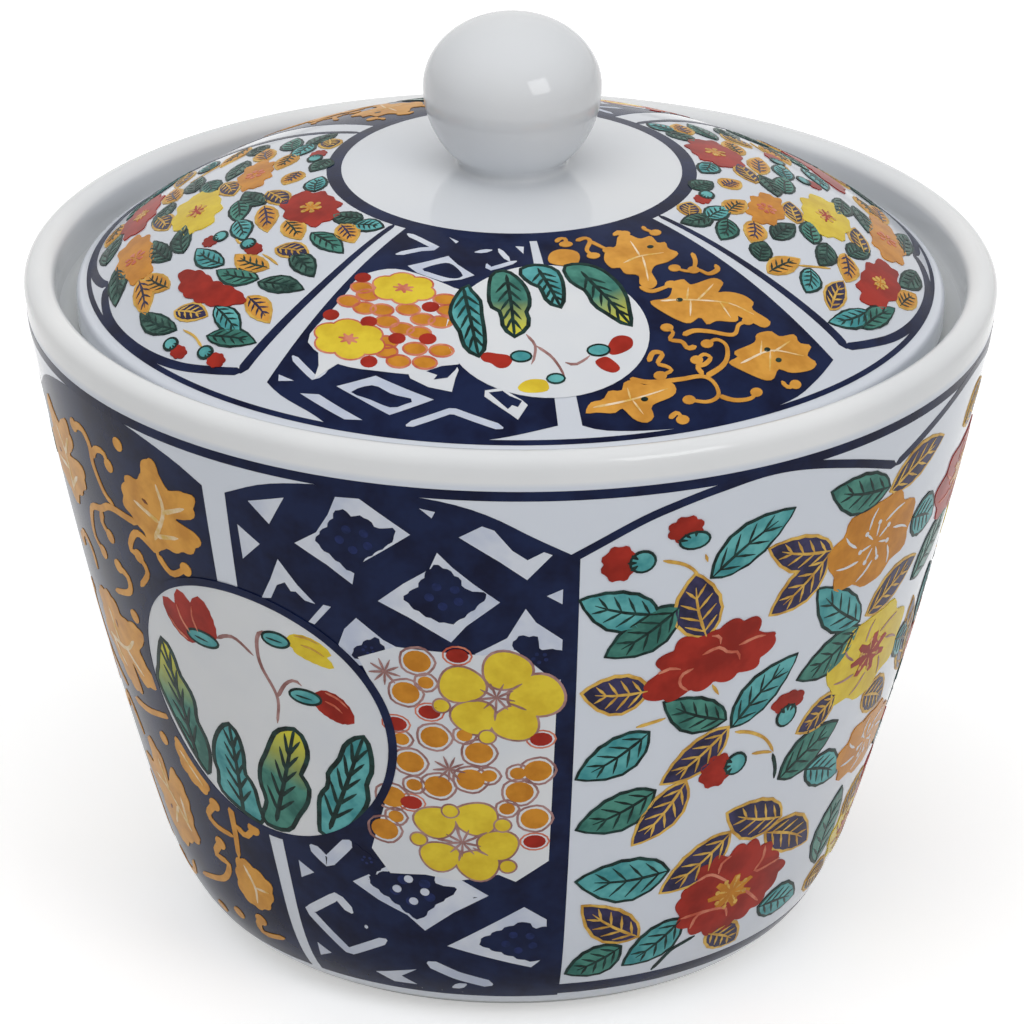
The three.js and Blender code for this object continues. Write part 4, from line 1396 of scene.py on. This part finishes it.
LID_RED = (
    (-32.2, 29.1), (-32.8, 34.6), (-15.4, 31.4), (-19.2, 35.8), (-14, 35.4), (-22.2, 38.8), (-25.4, 34.4),
)
LID_ROUNDEL = (6.8, 32.9)
LID_ROUNDEL_REACH = (10.5, 9.3)
LID_LEAVES = (
    ("turquoise", (-10, 28.3), (-5, 37),
     ((-7.5, 36), (-9, 34), (-10.5, 33), (-11.5, 31.5), (-11, 29.5), (-9.5, 27.8), (-8, 28.8), (-6, 30),
      (-5.3, 32), (-4.5, 34), (-4.2, 36))),
    ("tipped", (-1, 26), (0.8, 34.6),
     ((-1.5, 33), (-1.6, 31.6), (-3.7, 30.8), (-4.5, 29), (-4.3, 26), (-1, 25.4), (2.3, 27), (3.8, 29),
      (3.7, 30.8), (3, 31.6), (3.5, 33))),
    ("turquoise", (6.5, 25), (9.8, 31),
     ((7.3, 30), (6.3, 28), (4, 27.2), (2, 25.3), (6, 24.4), (10.5, 25.2), (11.5, 27), (11, 29.3))),
    ("tipped", (16.5, 26), (21.7, 34.2),
     ((20.3, 33.8), (18, 32.2), (16.3, 31), (15.8, 29), (13.3, 27.5), (12.8, 25), (17.5, 24.8), (21.3, 26),
      (23.3, 28.3), (23.5, 30.5), (22.8, 32))),
)
LID_SPRAYS = (
    ("red",
     (((-4.8, 36.9), (-3.8, 36.5), (-2.2, 36.6), (-0.2, 36.8), (0.4, 37.4), (-0.4, 38.1), (-1.8, 38.2),
       (-3, 37.7), (-4.2, 37.5)),), (1.8, 36.9), (1.1, 0.7)),
    ("yellow",
     (((1.2, 40.3), (2, 39.7), (3.4, 39.4), (5.2, 39.5), (5.8, 40), (5.6, 40.6), (3.8, 40.8), (2, 40.7)),),
     (7, 39.4), (0.95, 0.6)),
    ("red",
     (((16.2, 36.4), (17.6, 35.4), (19.4, 35.2), (20.8, 35.7), (20.4, 36.6), (18.8, 37.1), (17, 37.3),
       (16.2, 37.1)),
      ((13.6, 37.8), (15.4, 37.4), (16.6, 38), (17.2, 38.8), (16.2, 39.2), (15, 39), (14, 38.5))),
     (14.6, 36.6), (1.2, 0.75)),
)
LID_STEMS = (
    ((2.8, 34.3), (4.2, 35.6), (3.9, 37.1), (3.4, 37.8)),
    ((4.4, 35.7), (6.6, 36.9), (7.8, 38.2), (8.4, 39.3)),
    ((8.8, 37.7), (10.2, 38), (11.8, 37.6), (13, 37.1)),
)
LID_GOLD = (
    ((23.6, 24.5), (26.2, 22.9), (29, 22.7), (32.2, 21.2), (35.6, 21.2), (37.4, 22.4), (41, 22.5),
     (40.6, 23.8), (42.6, 24.1), (41.4, 25.1), (42.4, 26.2), (38.2, 26.9), (34.2, 27), (31.8, 28.1),
     (31.6, 29.4), (29.2, 30), (27.8, 29.1), (28.8, 27.8), (26.2, 27.2), (26, 26.2), (24, 26)),
    ((27.6, 31.6), (31.4, 31.6), (33.8, 30.5), (34, 29.8), (37.6, 29.8), (38, 30.7), (43.8, 30.8),
     (44.6, 31.9), (40, 32.3), (43.8, 32.9), (46.2, 33.9), (46.8, 35.1), (45.4, 35.7), (46.6, 37.6),
     (44.4, 37.9), (43.2, 36.4), (42.2, 35.5), (40.8, 36.4), (37.4, 35.7), (35.2, 35.8), (34.8, 34.8),
     (31.8, 35.1), (28.6, 33.1)),
    ((34.6, 40.2), (36.6, 39.9), (36.6, 39.3), (41, 39), (42.4, 38.3), (45.2, 38.5), (46, 39.3),
     (48.8, 39.7), (48.4, 40.6), (50, 41.3), (48, 42), (48.6, 42.9), (46.8, 43.3), (43.4, 42.9),
     (41.8, 42.2), (40, 42.9), (38.4, 42.7), (35.8, 41.2)),
    ((10.6, 43), (11.6, 42), (13.4, 41.8), (14.6, 41), (16.4, 41.1), (17.2, 40.3), (19, 40.2), (20, 40.8),
     (23.8, 40.8), (24.6, 41.6), (23.6, 42.3), (20.2, 42.9), (20, 43.9), (18.8, 44.4), (17.2, 44),
     (15.8, 42.8), (14.6, 43.2), (12.2, 43)),
    ((9.8, 24.1), (10.4, 22.6), (13.2, 21.9), (16.8, 22.2), (18.2, 23.1), (16.8, 24.5), (14.4, 24.9)),
)
LID_GOLD_VEINS = (
    ((27.6, 25.6), (32.8, 25.1), (39.2, 25.5)), ((32.8, 25.1), (34.2, 22.4)), ((33.4, 25.1), (30, 28.9)),
    ((29.6, 31.8), (34.8, 32.4), (41.8, 34.1), (44.8, 36.3)), ((34.8, 32.4), (37, 31)),
    ((36.6, 32.8), (42.6, 31.5)), ((35.4, 32.6), (33.2, 34.4)), ((40.6, 33.8), (40.2, 35.8)),
    ((36.4, 40.6), (42.6, 40.3), (47.4, 41.9)), ((40.4, 40.4), (42.4, 39.1)), ((43, 40.5), (47.2, 40.1)),
    ((42.4, 40.4), (40.2, 42.1)), ((11.8, 42.5), (17.4, 42.1), (23.4, 41.5)), ((17.4, 42.1), (17.4, 40.9)),
    ((17.6, 42.1), (18.6, 43.6)),
)
LID_SPOTS = ((37.6, 24.1), (33.4, 32.2), (42.2, 40.1), (42.8, 41.4), (19.4, 42.2))
LID_CURLS = (
    ((13.4, 20.5), (14.8, 19.9), (16.6, 20), (16, 21)),
    ((19.4, 20.6), (22.6, 20.3), (23.4, 21), (20.8, 22.5), (21.6, 23.6)),
    ((23.4, 21), (25.4, 22.4), (26.6, 23.1)), ((31.4, 20.8), (34.2, 20.3), (34.8, 20.9)),
    ((42.8, 20.6), (42, 21.2), (43.4, 22.2)),
    ((47.4, 29.3), (46.6, 30), (43.8, 30.1), (42.6, 29.2), (40, 28.9), (38, 28)),
    ((45.6, 26.8), (44, 28), (41.6, 29)), ((27.4, 29.4), (29, 30.3), (32.2, 30.2), (34.2, 30)),
    ((31, 37.8), (29.4, 37.8), (29, 37), (27.2, 36.5), (28.4, 35.8), (27.8, 35.1)),
    ((29.8, 36.3), (32.2, 36.1), (34.8, 36.6), (38.4, 37.6), (40.6, 36.8), (42.8, 36.7)),
    ((30, 41), (33.2, 40.4), (35, 39.6), (36, 38.4), (35, 37.6), (33, 37.8)),
    ((22, 38.5), (23.4, 37.6), (24.8, 37.9), (23.4, 38.8), (24.6, 39.3), (25, 39.8), (23, 40.1)),
    ((29.6, 40.8), (29.4, 39.9), (30.8, 39.8), (32.2, 39.3), (31.4, 38.8), (29.8, 39.2)),
    ((18.2, 40), (21, 40.6), (25.8, 40.8), (29.2, 40.9), (30.6, 41.7), (30.4, 43), (28.4, 43.4),
     (25.8, 42.9)), ((30.4, 43.1), (32.4, 43.8), (34.8, 44), (36.2, 43.6)),
    ((41, 43.3), (41.4, 44), (42.8, 44)), ((22, 44.3), (23.4, 43.9), (23.8, 44.6)),
)


def lid_panels(brush):
    """The lid's lattice, plum blossom, roundel and gold leaves in its blue grounds."""
    skin = brush.skin
    scale = skin.scale_at(LID_MIDDLE)
    for outline in LID_WHITE:
        brush.fan("reserve", angular(outline, 1.0, scale), RESERVE)
    for path, width in LID_STROKES:
        brush.stroke("reserve", path, width, RESERVE, curved=False)
    for outline in LID_BLUE:
        brush.fan("cobalt", smooth(outline, True, 0.7, scale), HEART)
    brush.fan("white", smooth(LID_PLUM_GROUND, True, 1.2, scale), WHITE)
    for outline in LID_NOTCHES:
        brush.fan("white", angular(outline, 0.8, scale), WHITE - 0.006)
    for spot in LID_ORANGE:
        disc(brush, "orange", spot, (1.3, 0.82), FILL - 0.02, "blush", 0.24)
    for spot in LID_RED:
        disc(brush, "red", spot, (0.95, 0.75), FILL - 0.005)
    for centre, (across, along) in LID_YELLOW:
        for k in range(6):
            turn = 2 * math.pi * (k + 0.2) / 6
            way = 0.6 * np.array([across * math.cos(turn), along * math.sin(turn)])
            spot = np.array(centre) + way / skin.scale_at(centre[1])
            disc(brush, "blush", spot, (0.42 * across + 0.2, 0.5 * along + 0.2), FILL - 0.006)
            disc(brush, "yellow", spot, (0.42 * across, 0.5 * along), FILL)
        disc(brush, "yellow", centre, (0.5 * across, 0.5 * along), FILL)
        star(brush, "blush", centre, (1.3, 0.8), OVER)
    edge = ring_spots(skin, LID_ROUNDEL, *LID_ROUNDEL_REACH, 64)
    brush.fan("white", edge, UNDER)
    for outline in LID_FRAGMENTS:
        brush.fan("cobalt", angular(outline, 0.6, scale), UNDER + 0.008)
    brush.lines("mauve", LID_STEMS, 0.36, FILL, taper=0.3)
    for fill, base, tip, sides in LID_LEAVES:
        drawn_leaf(brush, fill, base, tip, sides, 0.78)
    for fill, petals, calyx, reach in LID_SPRAYS:
        for petal in petals:
            brush.fan(fill, smooth(petal, True, 0.3, scale), FILL)
        disc(brush, "turquoise", calyx, reach, OVER, "ink", 0.22)
    for path in LID_CURLS:
        brush.stroke("gold", path, 0.62, UNDER, taper=0.4, spacing=0.3)
        disc(brush, "gold", path[-1], (0.75, 0.55), UNDER)
    for outline in LID_GOLD:
        brush.fan("gold", smooth(outline, True, 0.45, scale), UNDER)
    brush.lines("straw", LID_GOLD_VEINS, 0.26, FILL, taper=0.5)
    for spot in LID_SPOTS:
        disc(brush, "ink", spot, (0.4, 0.28), FILL)


LID_CAMELLIA_LEAVES = (
    (-53.8, 21.6, -4.3), (-44.5, 21.5, 4.0), (-48.3, 26.2, 6.6), (-47.3, 30, 5.0), (-46.7, 33.3, 5.0),
    (-67.5, 34.7, -5.0), (-57.3, 34.4, -5.0), (-79, 35.7, -5.0), (-79.5, 38.1, -5.0), (-50, 39, 4.5),
    (-46.5, 40.4, 4.5), (-62, 42.3, -5.0), (-78.5, 43.2, 5.5), (-80, 21.1, -4.5), (-79, 29.8, 5.0),
    (-82.5, 27.8, -5.0), (-116.6, 23, -5.0), (-108.5, 24, 5.0), (-114.5, 26, -4.8), (-114.5, 30.5, 3.3),
    (-103, 30.6, 5.0), (-113.5, 35.8, -3.3), (-97.5, 32.9, 4.0), (-103, 35, -4.3), (-94.5, 37.8, 3.5),
    (-114, 40.8, -4.8), (-108.5, 42.6, 5.3), (-94.5, 20.7, 4.0), (-92, 43, -4.5), (-70.5, 30.6, 4.5),
)
LID_NAVY_LEAVES = (
    (-47, 23.8, 4.5), (-78, 25.6, 5.5), (-60, 26.8, 5.0), (-70.5, 27.9, 6.0), (-53, 29, 4.0),
    (-58, 32.4, -5.0), (-46.5, 36.6, 4.0), (-57.5, 40, 3.3), (-71, 39.8, -4.0), (-70, 41.8, 5.0),
    (-112.5, 21.4, 3.8), (-101.5, 25, 4.8), (-109.5, 28.2, -4.3), (-92.5, 30.5, 4.3), (-114.5, 33.2, 5.0),
    (-102.5, 37.4, -4.0), (-111.5, 38.6, 4.5), (-98.5, 43.6, 3.3), (-88.5, 23.6, 3.0), (-90, 37.6, 4.0),
)
LID_FLOWERS = (
    ("red", (-66.3, 23.3), (4.3, 2.9), "blush", "orange"),
    ("yellow", (-87.5, 33.8), (5.4, 2.9), "mauve", "red"),
    ("orange", (-82.5, 40.6), (6.0, 2.3), "blush", None),
    ("orange", (-96.5, 27.8), (4.1, 1.9), "blush", None),
    ("red", (-100, 40.7), (5.8, 2.2), "blush", "orange"),
)
LID_RED_FLOWER = (
    (-69, 37.6), (-65, 36.2), (-60, 36.1), (-54, 35.7), (-50, 36.4), (-55, 38.3), (-63, 39),
    (-66.5, 38.3),
)
LID_BUDS = (
    ((-61.3, 31.1), (1.3, 0.9), (-64.5, 31)), ((-72.4, 33.6), (1.1, 0.9), (-72, 32.3)),
    ((-46.2, 42.7), (1.2, 0.9), (-49.4, 42.4)), ((-53.3, 43.5), (1.2, 0.8), (-56.2, 43.2)),
    ((-104, 21.5), (1.1, 0.9), (-99.8, 21.6)),
)
LID_GOLD_STEMS = (
    ((-111.5, 34), (-108.5, 35.2), (-106, 36.3)), ((-64, 31.2), (-67, 31.6), (-70, 31)),
    ((-50, 42.2), (-53, 41.6), (-56, 41.6)), ((-52, 31.2), (-55, 31), (-58, 31)),
)

# Leaves of one kind: their spots, the fill and vein paints that take turns, and the outline's paint.
LID_LEAF_STYLES = (
    (LID_NAVY_LEAVES, (("gold", "navy"), ("navy", "gold_line"), ("gold", "ink")), "gold_line"),
    (LID_CAMELLIA_LEAVES, (("dusk", "ink"), ("turquoise", "ink"), ("green", "ink"), ("dusk", "ink")),
     "ink"),
)
# How far in mm a leaf's tip lies outside its middle, by turns; its width, half length and line width.
LID_LEAF_TILTS = (0.75, -0.6, 0.35)
LID_LEAF_WIDTH, LID_LEAF_HALF, LID_LEAF_LINE = 2.15, 0.94, 0.31
LID_CALYX = (0.95, 0.75)
# The two camellia panels lie a little less than half a turn apart.
LID_SIDE_TURNS = (0, 175.5)


def lid_camellias(brush):
    """Two panels of camellias, round flowers, buds and leaves on the lid's white sides."""
    brush.lines("cobalt", (*LID_SIDE_LINES, *LID_LOBES), 1.0, GROUND + 0.006)
    brush.lines("gold_line", LID_GOLD_STEMS, 0.3, WHITE, taper=0.2)
    for rows, fills, line in LID_LEAF_STYLES:
        for k, (across, out, reach) in enumerate(rows):
            tilt = LID_LEAF_TILTS[k % len(LID_LEAF_TILTS)]
            fill, vein = fills[k % len(fills)]
            half = LID_LEAF_HALF * reach
            base, tip = (across - half, out - tilt), (across + half, out + tilt)
            leaf(brush, fill, line, base, tip, LID_LEAF_WIDTH, vein, LID_LEAF_LINE)
    scale = brush.skin.scale_at(LID_SPRAY)
    brush.fan("red", scallop(smooth(LID_RED_FLOWER, True, 0.35, scale), scale, 0.4, 2.0), FILL + 0.01)
    for fill, centre, reach, line, star_paint in LID_FLOWERS:
        round_flower(brush, fill, centre, reach, line, star_paint, lines=0, star_share=0.32)
    for bud, reach, calyx in LID_BUDS:
        bud_and_calyx(brush, bud, reach, calyx, LID_CALYX)


class MakeBowl(bpy.types.Operator):
    """Turns the porcelain bowl."""

    bl_idname = "pottery.bowl"
    bl_label = "Bowl"

    def execute(self, context):
        """Makes the bowl and puts it in the place of its solid."""
        colours = context.scene.pottery_colours
        sizes = context.scene.pottery_bowl
        ledge = sizes.height - sizes.ledge_depth
        # Painted shade in the groove, and bare clay with painted contact shade at the foot.
        groove_shade_and_bare_foot = (colours.groove_shade_and_bare_foot, ledge - GROOVE_DROP, ledge + GROOVE_COVE * sizes.ledge_cove, SHADED_BARE_FOOT)
        # The bowl's lighter glaze is painted light on the lip; below the painted wall the glaze outside gets
        # painted shade and blue bounce.
        shades = (colours.lip, colours.glaze, colours.wall_painted_shade)
        clay = porcelain("glazed bowl porcelain", *shades, PAINTED_WALL, groove_shade_and_bare_foot)
        made = turned("bowl_porcelain", bowl_profile(sizes), clay)
        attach(made, "bowl")
        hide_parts("bowl")
        return {"FINISHED"}


class MakeLid(bpy.types.Operator):
    """Turns the porcelain lid."""

    bl_idname = "pottery.lid"
    bl_label = "Lid"

    def execute(self, context):
        """Makes the lid and puts it in the place of its solid."""
        colours = context.scene.pottery_colours
        # Below the painted lid the glaze outside gets painted shade and blue bounce.
        shades = (colours.glaze, colours.glaze_shade, colours.lid_painted_shade)
        clay = porcelain("glazed lid porcelain", *shades, PAINTED_LID)
        made = turned("lid_porcelain", lid_profile(context.scene.pottery_lid), clay)
        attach(made, "lid")
        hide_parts("lid")
        return {"FINISHED"}


class MakeKnob(bpy.types.Operator):
    """Turns the porcelain knob."""

    bl_idname = "pottery.knob"
    bl_label = "Knob"

    def execute(self, context):
        """Makes the knob and puts it in the place of its solid."""
        colours = context.scene.pottery_colours
        shades = (colours.glaze, colours.glaze_shade, colours.glaze_shade)
        clay = porcelain("glazed knob porcelain", *shades, UNPAINTED)
        made = turned("knob_porcelain", knob_profile(context.scene.pottery_knob), clay)
        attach(made, "lid")
        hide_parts("knob")
        return {"FINISHED"}


class PaintWall(bpy.types.Operator):
    """Paints the bowl's wall."""

    bl_idname = "pottery.wall"
    bl_label = "Wall pattern"

    def execute(self, context):
        """Lays the wall's lines, grounds, lattice, gold scrolls, roundels and camellias."""
        brush = Brush(wall_skin(context.scene.pottery_bowl), TURNS)
        wall_frames(brush)
        wall_gold(brush)
        wall_lattice(brush)
        wall_plum(brush)
        wall_roundel(brush)
        wall_camellias(brush)
        brush.pieces("wall", mix_paints(context.scene.pottery_colours), "bowl")
        return {"FINISHED"}


class PaintLid(bpy.types.Operator):
    """Paints the lid's dome."""

    bl_idname = "pottery.dome"
    bl_label = "Lid pattern"

    def execute(self, context):
        """Lays the lid's lines, grounds, lattice, gold leaves, roundels and camellias."""
        brush = Brush(lid_skin(context.scene.pottery_lid), TURNS)
        lid_frames(brush)
        lid_panels(brush)
        brush.turns = LID_SIDE_TURNS
        lid_camellias(brush)
        brush.pieces("dome", mix_paints(context.scene.pottery_colours), "lid")
        return {"FINISHED"}


# Lamps: place and aim in metres, width in metres, power in watts and whether the glaze mirrors it.
LAMPS = (
    ("overhead", (-0.1, 0.1, 1.2), (0, 0, 0.05), 1.5, 7.8, False),
    ("front", (-0.12, -0.62, 1.05), (0, 0, 0.05), 1.2, 4.85, False),
    ("window", (0.71, -0.84, 0.78), (0, 0, 0.08), 0.55, 3.0, True),
)
# Upright share past which a lamp counts as hanging straight down.
STEEP = 0.95
# Strength of the white room as a light, and glow and roughness of the paper.
ROOM_LIGHT, PAPER_GLOW, PAPER_ROUGHNESS = 0.14, 0.45, 0.9
SENSOR_WIDTH, CLIP_START = 36, 0.01


def soft_lamp(name, place, aim, width, power):
    """Square lamp at a place, turned to face a point."""
    light = bpy.data.lights.new(name, "AREA")
    light.size = width
    light.energy = power
    made = bpy.data.objects.new(name, light)
    bpy.context.scene.collection.objects.link(made)
    back = np.array(place, float) - np.array(aim, float)
    back /= np.linalg.norm(back)
    side = np.cross([0, 1, 0] if abs(back[2]) > STEEP else [0, 0, 1], back)
    side /= np.linalg.norm(side)
    made.matrix_world = axes_matrix(side, np.cross(back, side), back, place)
    return made


def seen_directly(tree):
    """One where the camera sees a surface straight, mirrored or through glass, nought for its light."""
    path = add_node(tree, "ShaderNodeLightPath")
    mirrored = path.outputs["Is Glossy Ray"]
    either = calculate(tree, "MAXIMUM", mirrored, path.outputs["Is Transmission Ray"])
    return calculate(tree, "MAXIMUM", path.outputs["Is Camera Ray"], either)


class SetStage(bpy.types.Operator):
    """Sets the table, the lamps and the camera."""

    bl_idname = "pottery.stage"
    bl_label = "Stage"

    def execute(self, context):
        """Makes a pale table, soft lamps, a white surround and the camera."""
        scene = context.scene
        sizes = scene.pottery_stage
        half = sizes.table_size / 2
        mesh = bpy.data.meshes.new("table")
        corners = [(-half, -half, 0), (half, -half, 0), (half, half, 0), (-half, half, 0)]
        mesh.from_pydata(corners, [], [(0, 1, 2, 3)])
        table = bpy.data.objects.new("table", mesh)
        scene.collection.objects.link(table)
        mesh.materials.append(table_paper(scene.pottery_colours))
        self.surround(scene)
        for name, place, aim, width, power, mirrored in LAMPS:
            soft_lamp(name, place, aim, width, power).visible_glossy = mirrored
        self.camera(scene, sizes)
        scene.view_settings.view_transform = "Standard"
        return {"FINISHED"}

    def surround(self, scene):
        """White room: full white to the eye and in the glaze, softer as a light."""
        world = bpy.data.worlds.new("white room")
        world.use_nodes = True
        scene.world = world
        tree = world.node_tree
        brightness = {"Value": seen_directly(tree), "To Min": ROOM_LIGHT, "To Max": 1.0}
        seen = add_node(tree, "ShaderNodeMapRange", brightness)
        tree.links.new(seen.outputs["Result"], tree.nodes["Background"].inputs["Strength"])
        tree.nodes["Background"].inputs["Color"].default_value = (1.0, 1.0, 1.0, 1.0)

    def camera(self, scene, sizes):
        """Camera at distance from its aim, raised by elevation and tilted by roll."""
        rise, roll = sizes.elevation, sizes.roll
        right, up = np.array([1.0, 0, 0]), np.array([0, math.sin(rise), math.cos(rise)])
        back = np.array([0, -math.cos(rise), math.sin(rise)])
        side = math.cos(roll) * right + math.sin(roll) * up
        top = math.cos(roll) * up - math.sin(roll) * right
        place = np.array([sizes.aim_side, 0, sizes.aim_height]) + sizes.distance * back
        lens = bpy.data.cameras.new("camera")
        lens.sensor_width = SENSOR_WIDTH
        lens.lens = sizes.focal_share * lens.sensor_width
        lens.clip_start = CLIP_START
        made = bpy.data.objects.new("camera", lens)
        made.matrix_world = axes_matrix(side, top, back, place)
        scene.collection.objects.link(made)
        scene.camera = made


def table_paper(colours):
    """White paper sweep that stays white to the eye but keeps the shadow."""
    # Matt plain paper; a glow that lights nothing lifts it to white for the eye and in the glaze.
    material = bpy.data.materials.new("white paper")
    material.use_nodes = True
    tree = material.node_tree
    shader = tree.nodes["Principled BSDF"]
    shader.inputs["Base Color"].default_value = linear(colours.floor)
    shader.inputs["Roughness"].default_value = PAPER_ROUGHNESS
    seen = add_node(tree, "ShaderNodeMapRange", {"Value": seen_directly(tree), "To Max": PAPER_GLOW})
    shader.inputs["Emission Color"].default_value = (1.0, 1.0, 1.0, 1.0)
    tree.links.new(seen.outputs["Result"], shader.inputs["Emission Strength"])
    return material


class PotteryPanel(bpy.types.Panel):
    """Lists the bowl's pieces in the sidebar."""

    bl_idname = "VIEW3D_PT_pottery"
    bl_label = "Painted bowl"
    bl_space_type = "VIEW_3D"
    bl_region_type = "UI"
    bl_category = "Bowl"

    def draw(self, context):
        """One button for each piece."""
        for operator in OPERATORS:
            self.layout.operator(operator.bl_idname)


GROUPS = {
    "pottery_bowl": BowlSizes,
    "pottery_lid": LidSizes,
    "pottery_knob": KnobSizes,
    "pottery_colours": Colours,
    "pottery_stage": StageSizes,
}
OPERATORS = (MakeBowl, MakeLid, MakeKnob, PaintWall, PaintLid, SetStage)


def register():
    """Registers the sizes, the operators and the panel."""
    for name, group in GROUPS.items():
        bpy.utils.register_class(group)
        setattr(bpy.types.Scene, name, bpy.props.PointerProperty(type=group))
    for made in (*OPERATORS, PotteryPanel):
        bpy.utils.register_class(made)


def unregister():
    """Takes the panel, the operators and the sizes away again."""
    for made in (PotteryPanel, *reversed(OPERATORS)):
        bpy.utils.unregister_class(made)
    for name, group in GROUPS.items():
        delattr(bpy.types.Scene, name)
        bpy.utils.unregister_class(group)


def main():
    """Builds every piece."""
    register()
    bpy.ops.pottery.bowl()
    bpy.ops.pottery.lid()
    bpy.ops.pottery.knob()
    bpy.ops.pottery.wall()
    bpy.ops.pottery.dome()
    bpy.ops.pottery.stage()
    bpy.context.view_layer.update()


if __name__ == "__main__":
    main()
